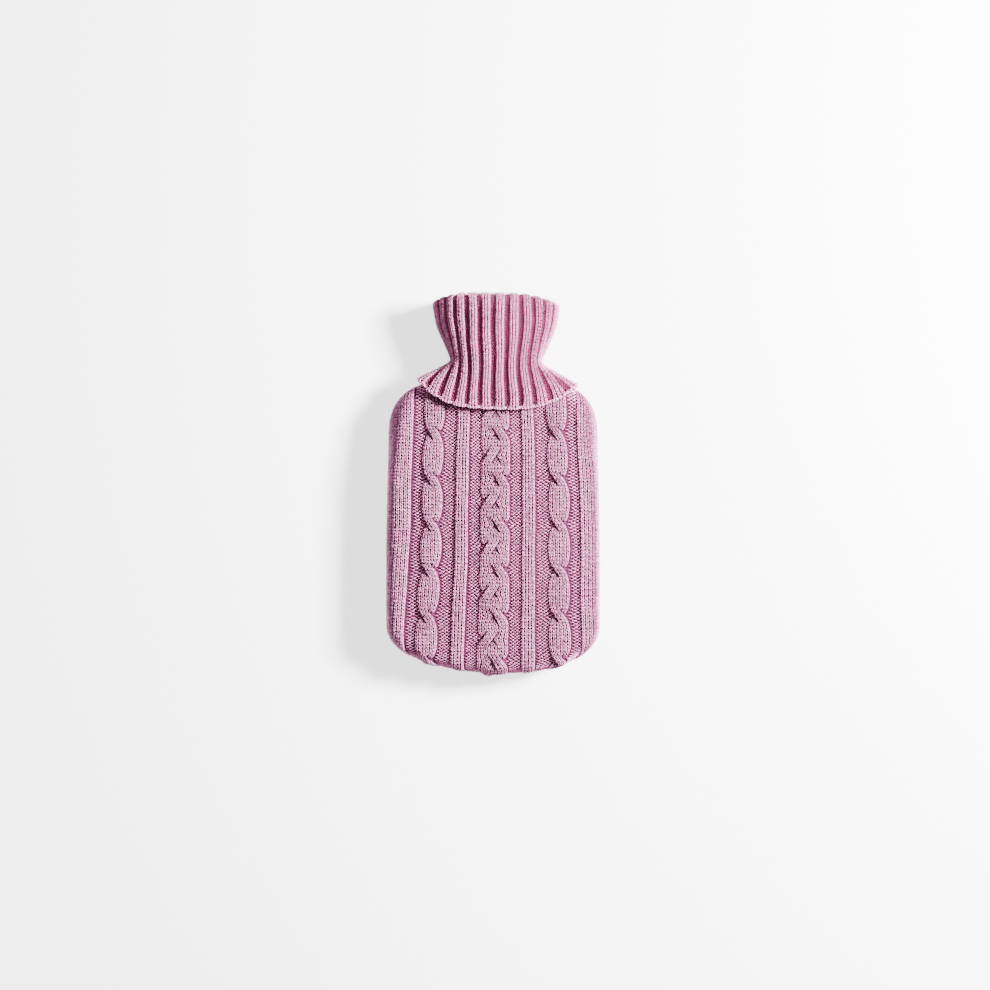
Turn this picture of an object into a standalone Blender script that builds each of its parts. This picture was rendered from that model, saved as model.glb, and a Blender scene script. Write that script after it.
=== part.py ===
"""A cable-knit cover for a hot water bottle, with a ribbed collar turned down over its shoulders.

It lies on its back and keeps the full form that a bottle gives it, so it is a hollow shell of knitted
cloth: a front panel with its cables raised, a plain back panel, and a collar of one folded tube.
+X runs across the cover, +Y from its bottom edge to its mouth, and +Z up from the surface.
The origin is on that surface, under the middle of the cover.
"""

import math

import bmesh
import bpy
import numpy as np

MM = 0.001  # sizes are in millimetres, and this turns them to metres when a mesh is made

# The body, seen from above. Its outline is that of its side seam.
HALF_WIDTH = 100.0
SHOULDER_HALF_WIDTH = 98.3
BOTTOM_Y = -178.25
BOTTOM_CURVE = 46.0  # how far the rounded bottom edge reaches up the body's sides
BOTTOM_LEAN = 9.0  # the lowest point of the bottom edge is this far to the right
SIDE_BULGE = 0.8  # how far the sides bow out between the bottom and the shoulders
SHOULDER_Y = 30.0  # where the sides begin to round in to the shoulders
SHOULDER_TOP_Y = 98.5
SHOULDER_SQUARENESS = 4.5
NECK_HALF_WIDTH = 35.0
NECK_HOLLOW = 17.0  # the radius between shoulder and neck
NECK_TOP_Y = 120.0

# The body, seen from its end.
SIDE_ROUND = 17.0  # how far in from the seam the cloth is rounded over
SIDE_SQUARENESS = 3.4  # of the front's rounding below the shoulders, where 2 is a plain ellipse
SEAM_Z, NECK_SEAM_Z = 17.0, 26.0
TOP_Z, SHOULDER_TOP_Z, NECK_TOP_Z = 41.5, 38.5, 45.5
CROWN = 4.5  # how much further the middle of the front stands up
BACK_RISE_Z = 6.5  # the back rises off the surface under the shoulders, to make room for the collar
# Where these heights change along the cover: the y at which each change starts, and its length.
SEAM_RISE = (25.0, 80.0)
SHOULDER_DROP = (10.0, 65.0)
NECK_RISE = (80.0, 40.0)
CROWN_RISE = (BOTTOM_Y, 110.0)
CROWN_FALL = (-30.0, 120.0)
BACK_RISE = (42.0, 28.0)
SIDE_SOFTENS = (0.0, 60.0)
CLOTH_NARROWS = (55.0, 25.0)
NECK_CLOTH = 20.0  # what is left of the cloth round each side where it narrows to the neck
WALL = 4.0  # the cloth, from its skin to the hollow
GAP = 0.45  # between pieces that are sewn together

# The front's pattern, across from its middle line: a plait, a narrow rib and a rope, standing up out
# of purl knit, which ends where the plain knit of the side begins.
RIB_BAND = (25.2, 37.6)
ROPE_MIDDLE = 59.7
PATTERN_EDGE = 79.5
PURL, RIB_HEIGHT = -1.8, 0.4  # heights over the plain knit's skin
STEP_HALF = 0.7  # half the width of the step between two bands
SEAM_PULL = 7.0  # the bands flatten out over this much cloth before the seam
REPEAT = 42.84  # one turn of a rope or of the plait: 14 rows of stitches
TURN_Y = 48.2  # the middle of a rope's crossing
ROPE_HALF_WIDTH, ROPE_HALF_WAIST = 10.2, 5.2  # between its crossings, and at them
ROPE_SWELL = 2.5  # how soon a rope is wide again after a crossing
ROPE_CROSSING, PLAIT_CROSSING = 8.0, 9.5  # a crossing reaches this far up and down
PLAIT_HALF_WIDTH = 13.9
STRAND_SLANT = 0.5  # how much wider half a strand is, measured across, where it slants over to cross
STRAND_TOP, STRAND_CROSSING_RISE = 1.0, 1.5
STRAND_ROUNDNESS = 2.6  # 2 is a round strand, and more is a flatter one
PATTERN_END_Y, PATTERN_FADE = 86.0, 14.0  # the bands flatten out from here up, under the collar
WALE_FAN = 0.0004  # the bands spread towards the bottom by this share for each millimetre
WALE_SHIFT, WALE_DRIFT = 2.2, -2.42  # they lie this far right of the middle, and drift back lower down
DRIFT_Y, DRIFT_LENGTH = -29.0, 130.0

# The collar, a knitted tube folded over at the mouth: the middle of its cloth, from the neck seam up
# inside, over the fold and down outside.
COLLAR_ROWS = (
    # half width, depth in front, depth behind, y at the sides, y at the centre, squareness, centre z,
    # shift right at the sides, crowding
    (33.2, 17.8, 17.8, 120.5, 120.5, 2.8, 26.0, 0.0, 0.15),
    (34.2, 18.0, 18.0, 129.0, 130.0, 2.7, 26.0, 0.0, 0.15),
    (39.5, 19.2, 19.2, 142.0, 146.0, 2.5, 26.0, 0.0, 0.15),
    (46.4, 20.6, 20.6, 155.5, 161.0, 2.4, 26.0, 0.4, 0.18),
    (51.2, 21.3, 21.3, 163.5, 171.0, 2.3, 26.3, 1.2, 0.20),
    (53.6, 21.9, 21.9, 168.2, 175.6, 2.3, 26.5, 2.0, 0.22),
    (55.8, 23.7, 23.7, 170.2, 178.2, 2.3, 26.6, 2.5, 0.23),
    (57.6, 25.4, 25.4, 168.0, 175.6, 2.3, 26.6, 2.8, 0.23),
    (56.6, 25.9, 25.9, 160.0, 168.0, 2.3, 26.6, 3.0, 0.25),
    (54.4, 25.2, 25.2, 149.5, 157.0, 2.4, 26.4, 2.9, 0.30),
    (49.7, 24.4, 24.4, 138.0, 145.0, 2.5, 26.2, 3.0, 0.36),
    (44.6, 23.6, 23.6, 127.0, 132.0, 2.7, 26.0, 2.9, 0.41),
    (41.2, 22.8, 23.4, 117.0, 120.0, 2.9, 26.0, 2.9, 0.43),
    (44.4, 22.8, 24.5, 112.0, 108.5, 2.9, 25.7, 3.0, 0.33),
    (53.9, 22.8, 27.0, 106.8, 96.0, 3.0, 25.2, 3.4, 0.15),
    (65.5, 22.8, 29.0, 101.0, 83.2, 3.5, 24.6, 4.0, 0.0),
    (75.6, 22.6, 30.0, 95.6, 70.4, 4.0, 24.0, 4.2, -0.12),
)
COLLAR_FOLD_ROWS = (5, 6, 7)  # the top of the fold, too tight for the cloth's inner face
COLLAR_THICKNESS = 3.4
COLLAR_TILT = 0.036  # the right side of the lower edge hangs lower by this share
COLLAR_RIBS = 26
RIB_POINTS = (0.16, 0.28, 0.72, 0.84)  # across one rib: groove, crest, crest, groove
GROOVE_DEPTH = 1.9
RIB_END = 1.6  # each rib ends this much lower than the groove beside it
EDGE_GROOVE = 0.3  # what is left of a groove's depth at the lower edge
CENTRE_DIP = 3.2  # how sharply the collar's rows dip between the sides and the centre

# The yarn.
YARN_COLOUR, COLLAR_COLOUR = (0.60, 0.35, 0.47), (0.62, 0.33, 0.46)
YARN_ROUGHNESS = 0.9

# How finely the solids are faceted.
ROW_STEP = REPEAT / 10
CURVE_POINTS, HOLLOW_POINTS, RING_POINTS = 60, 24, 1441
PLAIT_COLUMNS = 11
ROPE_COLUMNS = (-0.9, -0.6, -0.3, 0.0, 0.3, 0.6, 0.9)  # as shares of the rope's half width
SIDE_COLUMNS = (STEP_HALF, 9.0, 18.0, 27.0, 40.0)  # past the pattern's edge
SNAP = 1.4  # points this near the seam are moved to it
MOST_MOVED = 25.0  # beside the neck no point is moved further than this
NECK_RUN_OUT = 60.0  # the crown's edge is drawn on past the neck's top
MERGE = 0.05  # points nearer than this are one
SHARP_ANGLE = 50.0
PLAIN_COLUMNS = (18.0, 27.0, 35.0, 43.0, 61.0, 79.0, 88.0, 97.0, 106.0, 116.5)
PLAIN_ROWS = (
    *(-197.0, -188.0, -179.0, -170.0, -161.0, -152.0, -143.0, -130.0, -115.0, -98.0, -78.0, -58.0, -38.0),
    *(-18.0, 2.0, 18.0, 29.0, 40.0, 51.0, 62.0, 73.0, 83.0, 91.0, 98.0, 104.0, 109.0, 114.5),
)


def smooth(t):
    """0 before 0, 1 after 1, and a soft step between."""
    t = np.clip(t, 0.0, 1.0)
    return t * t * (3.0 - 2.0 * t)


def changed(y, change):
    """How much of one of the changes along the cover has happened at y, from 0 to 1."""
    start, length = change
    return smooth((y - start) / length)


def seam_z(y):
    return SEAM_Z + (NECK_SEAM_Z - SEAM_Z) * changed(y, SEAM_RISE)


def front_z(x, y):
    """The height of the front's skin where it isn't rounded over."""
    shoulder = (SHOULDER_TOP_Z - TOP_Z) * changed(y, SHOULDER_DROP)
    neck = (NECK_TOP_Z - SHOULDER_TOP_Z) * changed(y, NECK_RISE)
    across = 0.5 + 0.5 * np.cos(np.pi * np.clip(x / HALF_WIDTH, -1.0, 1.0))
    along = changed(y, CROWN_RISE) * (1.0 - changed(y, CROWN_FALL))
    return TOP_Z + shoulder + neck + CROWN * across * along


def back_z(y):
    return BACK_RISE_Z * changed(y, BACK_RISE)


def crown_edge():
    """The line where the skin begins to round over, from the neck's right side down and round to its
    left side. The seam's outline is this line moved out by SIDE_ROUND."""
    wide, narrow = HALF_WIDTH - SIDE_ROUND, SHOULDER_HALF_WIDTH - SIDE_ROUND
    bottom_y = BOTTOM_Y + BOTTOM_CURVE
    angle = np.linspace(0.0, math.pi / 2, CURVE_POINTS)
    bottom = wide * np.sin(angle), bottom_y - (BOTTOM_CURVE - SIDE_ROUND) * np.cos(angle)

    side_y = np.linspace(bottom_y, SHOULDER_Y, CURVE_POINTS)[1:-1]
    bulge = SIDE_BULGE * np.sin(np.pi * (side_y - bottom_y) / (SHOULDER_Y - bottom_y))
    side = np.interp(side_y, (bottom_y, SHOULDER_Y), (wide, narrow)) + bulge, side_y

    neck_x = NECK_HALF_WIDTH - SIDE_ROUND
    hollow_r = NECK_HOLLOW + SIDE_ROUND
    hollow_x = neck_x + hollow_r
    rise = SHOULDER_TOP_Y - SIDE_ROUND - SHOULDER_Y
    power = 2 / SHOULDER_SQUARENESS
    angle = np.linspace(0.0, math.acos((hollow_x / narrow) ** (1 / power)), CURVE_POINTS)
    shoulder = narrow * np.cos(angle) ** power, SHOULDER_Y + rise * np.sin(angle) ** power
    hollow_y = shoulder[1][-1] + hollow_r
    angle = np.linspace(0.0, math.pi / 2, HOLLOW_POINTS)[1:]
    hollow = hollow_x - hollow_r * np.sin(angle), hollow_y - hollow_r * np.cos(angle)
    neck = np.array((neck_x,)), np.array((NECK_TOP_Y + NECK_RUN_OUT,))

    right_x, right_y = np.concatenate((bottom, side, shoulder, hollow, neck), axis=1)
    x = np.concatenate((right_x[::-1], -right_x[1:]))
    y = np.concatenate((right_y[::-1], right_y[1:]))
    x += BOTTOM_LEAN * np.clip((bottom_y - y) / (BOTTOM_CURVE - SIDE_ROUND), 0.0, 1.0) ** 2
    return np.stack((x, y), axis=1)


CROWN_EDGE = crown_edge()


def off_the_crown(points):
    """For points laid out flat: the nearest point of the crown's edge, the way out from it, and how far
    out each point is, which is 0 or less on the crown."""
    a, b = CROWN_EDGE[:-1], CROWN_EDGE[1:]
    along = b - a
    length = np.hypot(along[:, 0], along[:, 1])
    outward = np.stack((-along[:, 1], along[:, 0]), axis=1) / length[:, None]
    rel = points[:, None, :] - a[None, :, :]
    share = np.clip((rel * along).sum(2) / length**2, 0.0, 1.0)
    feet = a + share[:, :, None] * along
    reach = points[:, None, :] - feet
    distance = np.hypot(reach[:, :, 0], reach[:, :, 1])
    nearest = distance.argmin(1)
    pick = np.arange(len(points))
    foot, reach, distance = feet[pick, nearest], reach[pick, nearest], distance[pick, nearest]
    inside = (reach * outward[nearest]).sum(1) < 0
    way = np.where(distance[:, None] > 1e-6, reach / np.maximum(distance, 1e-6)[:, None], outward[nearest])
    return foot, way, np.where(inside, -distance, distance)


def square_side():
    """The front's side below the shoulders: its length, and by shares of that length from the crown's
    edge, how far it has reached out and how much of its height is left."""
    angle = np.linspace(0.0, math.pi / 2, CURVE_POINTS)
    reach, height = np.sin(angle) ** (2 / SIDE_SQUARENESS), np.cos(angle) ** (2 / SIDE_SQUARENESS)
    steps = np.hypot(np.diff(reach) * SIDE_ROUND, np.diff(height) * (TOP_Z - SEAM_Z))
    along = np.concatenate(((0.0,), np.cumsum(steps)))
    return along[-1], along / along[-1], reach, height


SQUARE_SIDE = square_side()


def squarer(y, face):
    """How much of the squarer side there is at y: all of it below the shoulders, and none on the back."""
    return (1.0 - changed(y, SIDE_SOFTENS)) * (face > 0)


def side_cloth(y, face):
    """The cloth's length round the side, from the crown's edge to the seam: a quarter of an ellipse, or
    the squarer side's length."""
    rise = TOP_Z - SEAM_Z if face > 0 else SEAM_Z
    quarter = math.pi / 2 * math.sqrt((SIDE_ROUND**2 + rise**2) / 2)
    quarter = quarter + (SQUARE_SIDE[0] - quarter) * squarer(y, face)
    return quarter + (NECK_CLOTH - quarter) * changed(y, CLOTH_NARROWS)


def side_form(share, y, face):
    """How far the side has reached out, and how much of its height is left, at a share of its cloth."""
    _, along, reach, height = SQUARE_SIDE
    round_reach, round_height = np.sin(share * math.pi / 2), np.cos(share * math.pi / 2)
    square = squarer(y, face)
    reach = round_reach + (np.interp(share, along, reach) - round_reach) * square
    return reach, round_height + (np.interp(share, along, height) - round_height) * square


def skin(points, face):
    """Where the skin of the front (face 1) or back (face -1) is, for points of the cloth laid out flat."""
    foot, way, out = off_the_crown(points)
    share = np.maximum(out, 0.0) / side_cloth(foot[:, 1], face)
    reach, height = side_form(share, foot[:, 1], face)
    plan = np.where(out[:, None] > 0, foot + way * (SIDE_ROUND * reach)[:, None], points)
    x, y = plan[:, 0], plan[:, 1]
    edge = seam_z(y) + face * GAP / 2
    flat = front_z(x, y) if face > 0 else back_z(y)
    return np.stack((x, y, edge + (flat - edge) * height), axis=1)


def cloth(points, face, offset):
    """The skin moved out by offset, along its normal."""
    step = 0.5
    right, up = np.array((step, 0.0)), np.array((0.0, step))
    across = skin(points + right, face) - skin(points - right, face)
    along = skin(points + up, face) - skin(points - up, face)
    normal = np.cross(across, along) * face
    normal /= np.linalg.norm(normal, axis=1)[:, None]
    return skin(points, face) + normal * offset[:, None]


def crossing(y, half_length, lower=0.0):
    """-1 above a crossing, 1 below it, swinging softly between. The middle is lower by that much."""
    above = (y - TURN_Y + lower + REPEAT / 2) % REPEAT - REPEAT / 2
    return -np.sin(math.pi / 2 * np.clip(above / half_length, -1.0, 1.0))


def strands_top(x, left, right, strands):
    """The height over the skin of a cable of several strands. Away from its crossings they lie side by
    side as one rounded band, and where they cross each one rounds by itself."""
    band = round_top((2.0 * x - right - left) / (right - left))
    top = PURL
    for centre, half_width, over, near in strands:
        own = round_top((x - centre) / half_width)
        within = np.abs(x - centre) <= half_width
        apart = smooth(1.6 * near)
        level = STRAND_TOP - PURL + over * STRAND_CROSSING_RISE * near
        top = np.maximum(top, np.where(within, PURL + level * (band + (own - band) * apart), PURL))
    return top


def round_top(share):
    """The height of a rounded band, 1 in its middle and 0 at its edges, where share is -1 or 1."""
    return np.sqrt(np.clip(1.0 - np.abs(share) ** STRAND_ROUNDNESS, 0.0, 1.0))


def rope(y):
    """A rope's edges, and its two strands: the middle of each, its half width, whether it passes over,
    and how near it is to the crossing. The one from the left passes over to the right."""
    above = (y - TURN_Y + REPEAT / 2) % REPEAT - REPEAT / 2
    narrowed = (1.0 - abs(above) / (REPEAT / 2)) ** ROPE_SWELL
    edge = ROPE_HALF_WIDTH - (ROPE_HALF_WIDTH - ROPE_HALF_WAIST) * narrowed
    swing = crossing(y, ROPE_CROSSING)
    past_middle = ROPE_HALF_WAIST * (1.0 - abs(swing))
    middle, half = math.copysign((edge - past_middle) / 2, swing), (edge + past_middle) / 2
    near = 1.0 - swing**2
    return -edge, edge, ((middle, half, 1.0, near), (-middle, half, -1.0, near))


def plait(y):
    """The same for the plait, which has three. The middle strand passes out over the right one, then
    over the left one, in turn, and the third spreads to fill the room that the two leave it."""
    above = (y - TURN_Y + REPEAT / 2) % REPEAT - REPEAT / 2
    side = 1.0 if abs(above) <= REPEAT / 4 else -1.0
    swing = crossing(y, PLAIT_CROSSING, 0.0 if side > 0 else REPEAT / 2)
    near = 1.0 - swing**2
    third = PLAIT_HALF_WIDTH / 3
    half = third + STRAND_SLANT * near
    outer, inner = third * (1.0 + abs(swing)) + half, third * (1.0 - abs(swing)) - half
    over = side * third * (1.0 + swing), half, 1.0, near
    under = side * third * (1.0 - swing), half, -1.0, near
    idle = side * (inner - PLAIT_HALF_WIDTH) / 2, (inner + PLAIT_HALF_WIDTH) / 2, 0.0, 0.0
    left, right = sorted((-side * PLAIT_HALF_WIDTH, side * outer))
    return left, right, (over, under, idle)


def wale_x(x, y):
    """Where a line of stitches, x from the pattern's middle, really runs at y."""
    drift = WALE_SHIFT + WALE_DRIFT * smooth((DRIFT_Y - y) / DRIFT_LENGTH)
    return x * (1.0 - WALE_FAN * (y - DRIFT_Y)) + drift


def pattern_columns(y):
    """Positions and heights across the whole front at y, from left to right."""
    left, right, strands = plait(y)
    columns = [(left - STEP_HALF, PURL), (right + STEP_HALF, PURL)]
    for x in np.linspace(left + STEP_HALF, right - STEP_HALF, PLAIT_COLUMNS):
        columns.append((x, strands_top(x, left, right, strands)))
    rope_left, rope_right, rope_strands = rope(y)
    rib_in, rib_out = RIB_BAND
    for side in (-1.0, 1.0):
        rib = (rib_in + STEP_HALF, (rib_in + rib_out) / 2, rib_out - STEP_HALF)
        columns += [(side * x, RIB_HEIGHT) for x in rib]
        purl = (rib_in - STEP_HALF, rib_out + STEP_HALF, PATTERN_EDGE - STEP_HALF)
        columns += [(side * x, PURL) for x in purl]
        middle = side * ROPE_MIDDLE
        for share in ROPE_COLUMNS:
            x = share * rope_right
            columns.append((middle + x, strands_top(x, rope_left, rope_right, rope_strands)))
        columns += [(middle + rope_left - STEP_HALF, PURL), (middle + rope_right + STEP_HALF, PURL)]
        columns += [(side * (PATTERN_EDGE + reach), 0.0) for reach in SIDE_COLUMNS]
    return sorted(columns)


def meet_the_seam(points, rows, columns, face):
    """Moves each point outside the seam to the nearest point of it, or beside the neck to where the
    line to its nearest neighbour inside crosses it. Also says which points those are."""
    foot, _, out = off_the_crown(points)
    excess = out - side_cloth(foot[:, 1], face) + SNAP
    outside = excess > 0
    moved = points.copy()
    nearest = np.full(len(points), MOST_MOVED)
    index = np.arange(rows * columns).reshape(rows, columns)
    for axis, step in ((0, 1), (0, -1), (1, 1), (1, -1)):
        other = np.roll(index, step, axis).reshape(-1)
        share = -excess[other] / np.maximum(excess - excess[other], 1e-9)
        meeting = points[other] + (points - points[other]) * share[:, None]
        distance = np.hypot(*(meeting - points).T)
        use = outside & ~outside[other] & (distance < nearest) & (points[:, 1] > SHOULDER_TOP_Y)
        moved[use] = meeting[use]
        nearest[use] = distance[use]
    foot, way, _ = off_the_crown(moved)
    seam = foot + way * side_cloth(foot[:, 1], face)[:, None]
    return np.where(outside[:, None], seam, points), outside


def lay_sheet(bm, grid, offsets, face, inwards):
    """One face of a panel's cloth: a grid of points laid out flat, cut off at the seam and bent over
    the body. Points outside the seam are moved to it, and what lies wholly outside is left off."""
    rows, columns = grid.shape[:2]
    points, outside = meet_the_seam(grid.reshape(-1, 2), rows, columns, face)
    placed = cloth(points, face, offsets.reshape(-1))
    placed[:, 1] = np.minimum(placed[:, 1], NECK_TOP_Y)
    placed[-columns:, 1] = NECK_TOP_Y
    placed[:, 2] = np.maximum(placed[:, 2], 0.0)
    verts = [bm.verts.new(p * MM) for p in placed]
    for row in range(rows - 1):
        for column in range(columns - 1):
            corner = row * columns + column
            ring = (corner, corner + 1, corner + 1 + columns, corner + columns)
            if all(outside[i] for i in ring):
                continue
            order = ring if (face > 0) != inwards else ring[::-1]
            bm.faces.new([verts[i] for i in order])
    bmesh.ops.delete(bm, geom=[v for v in verts if not v.link_faces], context="VERTS")
    bmesh.ops.remove_doubles(bm, verts=bm.verts, dist=MERGE * MM)


def front_grid():
    """Rows in step with the cables' turns, from past the bottom seam to the neck."""
    grid, heights = [], []
    below = math.ceil((TURN_Y - PLAIN_ROWS[0]) / ROW_STEP)
    above = round((NECK_TOP_Y - TURN_Y) / ROW_STEP)
    rows = TURN_Y + ROW_STEP * np.arange(-below, above)
    for y in (*rows, NECK_TOP_Y):
        columns = pattern_columns(y)
        grid.append([(wale_x(x, y), y) for x, _ in columns])
        shown = 1.0 - smooth((y - PATTERN_END_Y) / PATTERN_FADE)
        heights.append([height * shown for _, height in columns])
    grid = np.array(grid)
    foot, _, out = off_the_crown(grid.reshape(-1, 2))
    to_seam = (side_cloth(foot[:, 1], 1) - out).reshape(grid.shape[:2])
    return grid, np.array(heights) * smooth(to_seam / SEAM_PULL)


def plain_grid():
    half = np.array(PLAIN_COLUMNS)
    across = np.concatenate((-half[::-1], (0.0,), half))
    grid = np.array([[(x, y) for x in across] for y in (*PLAIN_ROWS, NECK_TOP_Y)])
    return grid, np.zeros(grid.shape[:2])


def add_node(name, bm, colour):
    """Makes one closed, outward-facing object of a mesh, with its own matt yarn."""
    bmesh.ops.triangulate(bm, faces=bm.faces)
    bmesh.ops.recalc_face_normals(bm, faces=bm.faces)
    mesh = bpy.data.meshes.new(name)
    bm.to_mesh(mesh)
    bm.free()
    material = bpy.data.materials.new(name + "_yarn")
    material.use_nodes = True
    shader = material.node_tree.nodes["Principled BSDF"]
    shader.inputs["Base Color"].default_value = (*colour, 1.0)
    shader.inputs["Roughness"].default_value = YARN_ROUGHNESS
    shader.inputs["Metallic"].default_value = 0.0
    mesh.materials.append(material)
    mesh.shade_smooth()
    mesh.set_sharp_from_angle(angle=math.radians(SHARP_ANGLE))
    node = bpy.data.objects.new(name, mesh)
    bpy.context.scene.collection.objects.link(node)


def panel(name, face, grid, offsets):
    """A panel of the body: its skin, its inner face, and the cut edge between them."""
    bm = bmesh.new()
    lay_sheet(bm, grid, offsets, face, inwards=False)
    inner_grid, level = plain_grid()
    lay_sheet(bm, inner_grid, level - WALL, face, inwards=True)
    bmesh.ops.bridge_loops(bm, edges=[e for e in bm.edges if e.is_boundary])
    add_node(name, bm, YARN_COLOUR)


def superellipse(half_width, front, behind, squareness, turns):
    """Points round a flattened ring, at shares of its length from its front centre."""
    angle = np.linspace(0.0, 2 * math.pi, RING_POINTS)
    sine, cosine = np.sin(angle), np.cos(angle)
    x = half_width * np.sign(sine) * np.abs(sine) ** (2 / squareness)
    z = np.where(cosine > 0, front, -behind) * np.abs(cosine) ** (2 / squareness)
    reach = np.concatenate(((0.0,), np.cumsum(np.hypot(np.diff(x), np.diff(z)))))
    at = turns * reach[-1]
    return np.interp(at, reach, x), np.interp(at, reach, z)


def collar_middle(turns):
    """The middle of the collar's cloth: rows from the neck seam to the lower edge, points round each."""
    rows = []
    *_, lower_shift, _ = COLLAR_ROWS[-1]
    for half_width, front, behind, side_y, centre_y, squareness, centre_z, shift, crowding in COLLAR_ROWS:
        spread = turns + crowding * np.sin(4 * math.pi * turns) / (4 * math.pi)
        x, z = superellipse(half_width, front, behind, squareness, spread)
        y = centre_y + (side_y - centre_y) * np.abs(x / half_width) ** CENTRE_DIP
        y -= COLLAR_TILT * x * shift / lower_shift
        x += shift * (x / half_width) ** 2
        rows.append(np.stack((x, y, z + centre_z), axis=1))
    return np.array(rows)


def ring_normals(rows):
    along = np.gradient(rows, axis=0)
    across = np.roll(rows, -1, axis=1) - np.roll(rows, 1, axis=1)
    normals = np.cross(along, across)
    return normals / np.linalg.norm(normals, axis=2)[:, :, None]


def collar():
    """One tube of ribbed cloth: its ribbed face lines the mouth, turns over the fold and shows outside."""
    turns = np.array([(rib + at) / COLLAR_RIBS for rib in range(COLLAR_RIBS) for at in RIB_POINTS])
    crest = np.tile([0.0, 1.0, 1.0, 0.0], COLLAR_RIBS)
    middle = collar_middle(turns)
    middle[:, :, 2] = np.maximum(middle[:, :, 2], COLLAR_THICKNESS / 2)
    normals = ring_normals(middle)
    depth = np.tile(GROOVE_DEPTH * (1.0 - crest), (len(middle), 1))
    depth[-1] *= EDGE_GROOVE
    shown = middle + normals * (COLLAR_THICKNESS / 2 - depth)[:, :, None]
    shown[-1, :, 1] -= RIB_END * (crest - EDGE_GROOVE)
    shown[:, :, 2] = np.maximum(shown[:, :, 2], 0.0)
    hidden = np.delete(middle - normals * COLLAR_THICKNESS / 2, COLLAR_FOLD_ROWS, axis=0)
    seam_y = NECK_TOP_Y + GAP
    hidden[0, :, 1] = seam_y
    shown[0, :, 1] = seam_y

    bm = bmesh.new()
    for rows in (shown, hidden[::-1]):
        rings = [[bm.verts.new(p * MM) for p in row] for row in rows]
        for low, high in zip(rings, rings[1:]):
            for i in range(len(low)):
                j = (i + 1) % len(low)
                bm.faces.new((low[i], low[j], high[j], high[i]))
    open_edges = [e for e in bm.edges if e.is_boundary]
    at_seam = [abs(e.verts[0].co.y - seam_y * MM) < MERGE * MM for e in open_edges]
    for rim in (True, False):
        bmesh.ops.bridge_loops(bm, edges=[e for e, neck in zip(open_edges, at_seam) if neck == rim])
    add_node("roll_collar", bm, COLLAR_COLOUR)


def main():
    for left_over in list(bpy.data.objects):
        bpy.data.objects.remove(left_over)
    panel("front_panel", 1, *front_grid())
    panel("back_panel", -1, *plain_grid())
    collar()


main()
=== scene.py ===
# %% [markdown]
# # A cable-knit cover for a hot water bottle
#
# The real thing is three pieces of knitting in soft pink yarn: a front with a plait down its middle
# and a rope on either side, a plain back, and a ribbed collar that is turned down over the shoulders.
# In a photograph knitting is recognised by its stitches, so this lesson doesn't paint them on. Every
# stitch is a short piece of yarn with a real shape, laid on the body by the rule that a knitter works
# by: so many stitches across, so many rows up, and now and then three stitches crossed over three.
#
# The body's sizes come first as plain numbers in millimetres, then one cell for each kind of stitch,
# and the pieces of cloth follow from them.

import math
from collections import namedtuple
from types import SimpleNamespace

import bpy
import numpy as np
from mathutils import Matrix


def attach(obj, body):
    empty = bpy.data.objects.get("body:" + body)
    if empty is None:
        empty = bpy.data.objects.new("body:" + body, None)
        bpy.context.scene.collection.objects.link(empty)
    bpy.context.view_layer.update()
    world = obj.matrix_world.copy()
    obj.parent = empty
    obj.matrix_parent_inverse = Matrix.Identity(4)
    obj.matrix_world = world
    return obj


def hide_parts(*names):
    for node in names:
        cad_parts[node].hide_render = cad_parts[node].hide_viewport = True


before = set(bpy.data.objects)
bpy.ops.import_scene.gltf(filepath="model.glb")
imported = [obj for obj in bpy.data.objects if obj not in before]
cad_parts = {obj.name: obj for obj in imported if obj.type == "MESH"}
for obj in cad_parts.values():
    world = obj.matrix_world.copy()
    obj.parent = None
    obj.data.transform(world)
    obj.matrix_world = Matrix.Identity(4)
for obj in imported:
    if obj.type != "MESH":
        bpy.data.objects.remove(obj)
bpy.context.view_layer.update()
MM = 0.001  # sizes are in millimetres, and this turns them to metres when a mesh is made
random = np.random.default_rng(7)
print("nodes to dress:", sorted(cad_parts))

# %% [markdown]
# ## Camera, floor and light
#
# The photograph looks straight down on a cover that lies on its back, and shows it small in a white
# square. A camera close above would see its sides spread, so a long lens looks from two metres up. A
# pale sky alone would light the knitting so evenly that its stitches would hardly show. The soft key
# light that stands to the right gives every ridge a bright right side and a shaded left one, as in
# the photograph, and the sky only fills the shadows. The floor is plain and white.

# %% Camera
PICTURE = 990  # pixels, across and down
MM_PER_PIXEL = 0.945
CENTRE_PIXEL = (493.0, 484.5)  # where the photograph has the origin's x and the middle of the length
LENS = 85.0
AIM_Z = 25.0  # the height at which the photograph's scale holds

camera_data = bpy.data.cameras.new("camera")
camera_data.lens = LENS
camera = bpy.data.objects.new("camera", camera_data)
bpy.context.scene.collection.objects.link(camera)
distance = PICTURE * MM_PER_PIXEL * LENS / camera_data.sensor_width
camera.location = (
    (PICTURE / 2 - CENTRE_PIXEL[0]) * MM_PER_PIXEL * MM,
    (CENTRE_PIXEL[1] - PICTURE / 2) * MM_PER_PIXEL * MM,
    (AIM_Z + distance) * MM,
)
camera_data.clip_end = 20.0
bpy.context.scene.camera = camera
print(f"camera {distance / 1000:.2f} m above the cover")


# %% Floor and lights
def select_nothing():
    bpy.ops.object.select_all(action="DESELECT")


def add_light(name, kind, place, aim, size, power, colour):
    """One soft light at place, turned to shine at aim. Sizes and places are in metres."""
    data = bpy.data.lights.new(name, kind)
    data.energy = power
    data.color = colour
    data.shape = "RECTANGLE"
    data.size, data.size_y = size
    light = bpy.data.objects.new(name, data)
    light.location = place
    way = np.array(aim) - np.array(place)
    flat = math.hypot(way[0], way[1])
    light.rotation_euler = (math.atan2(flat, -way[2]), 0.0, math.atan2(-way[0], way[1]))
    bpy.context.scene.collection.objects.link(light)


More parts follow.
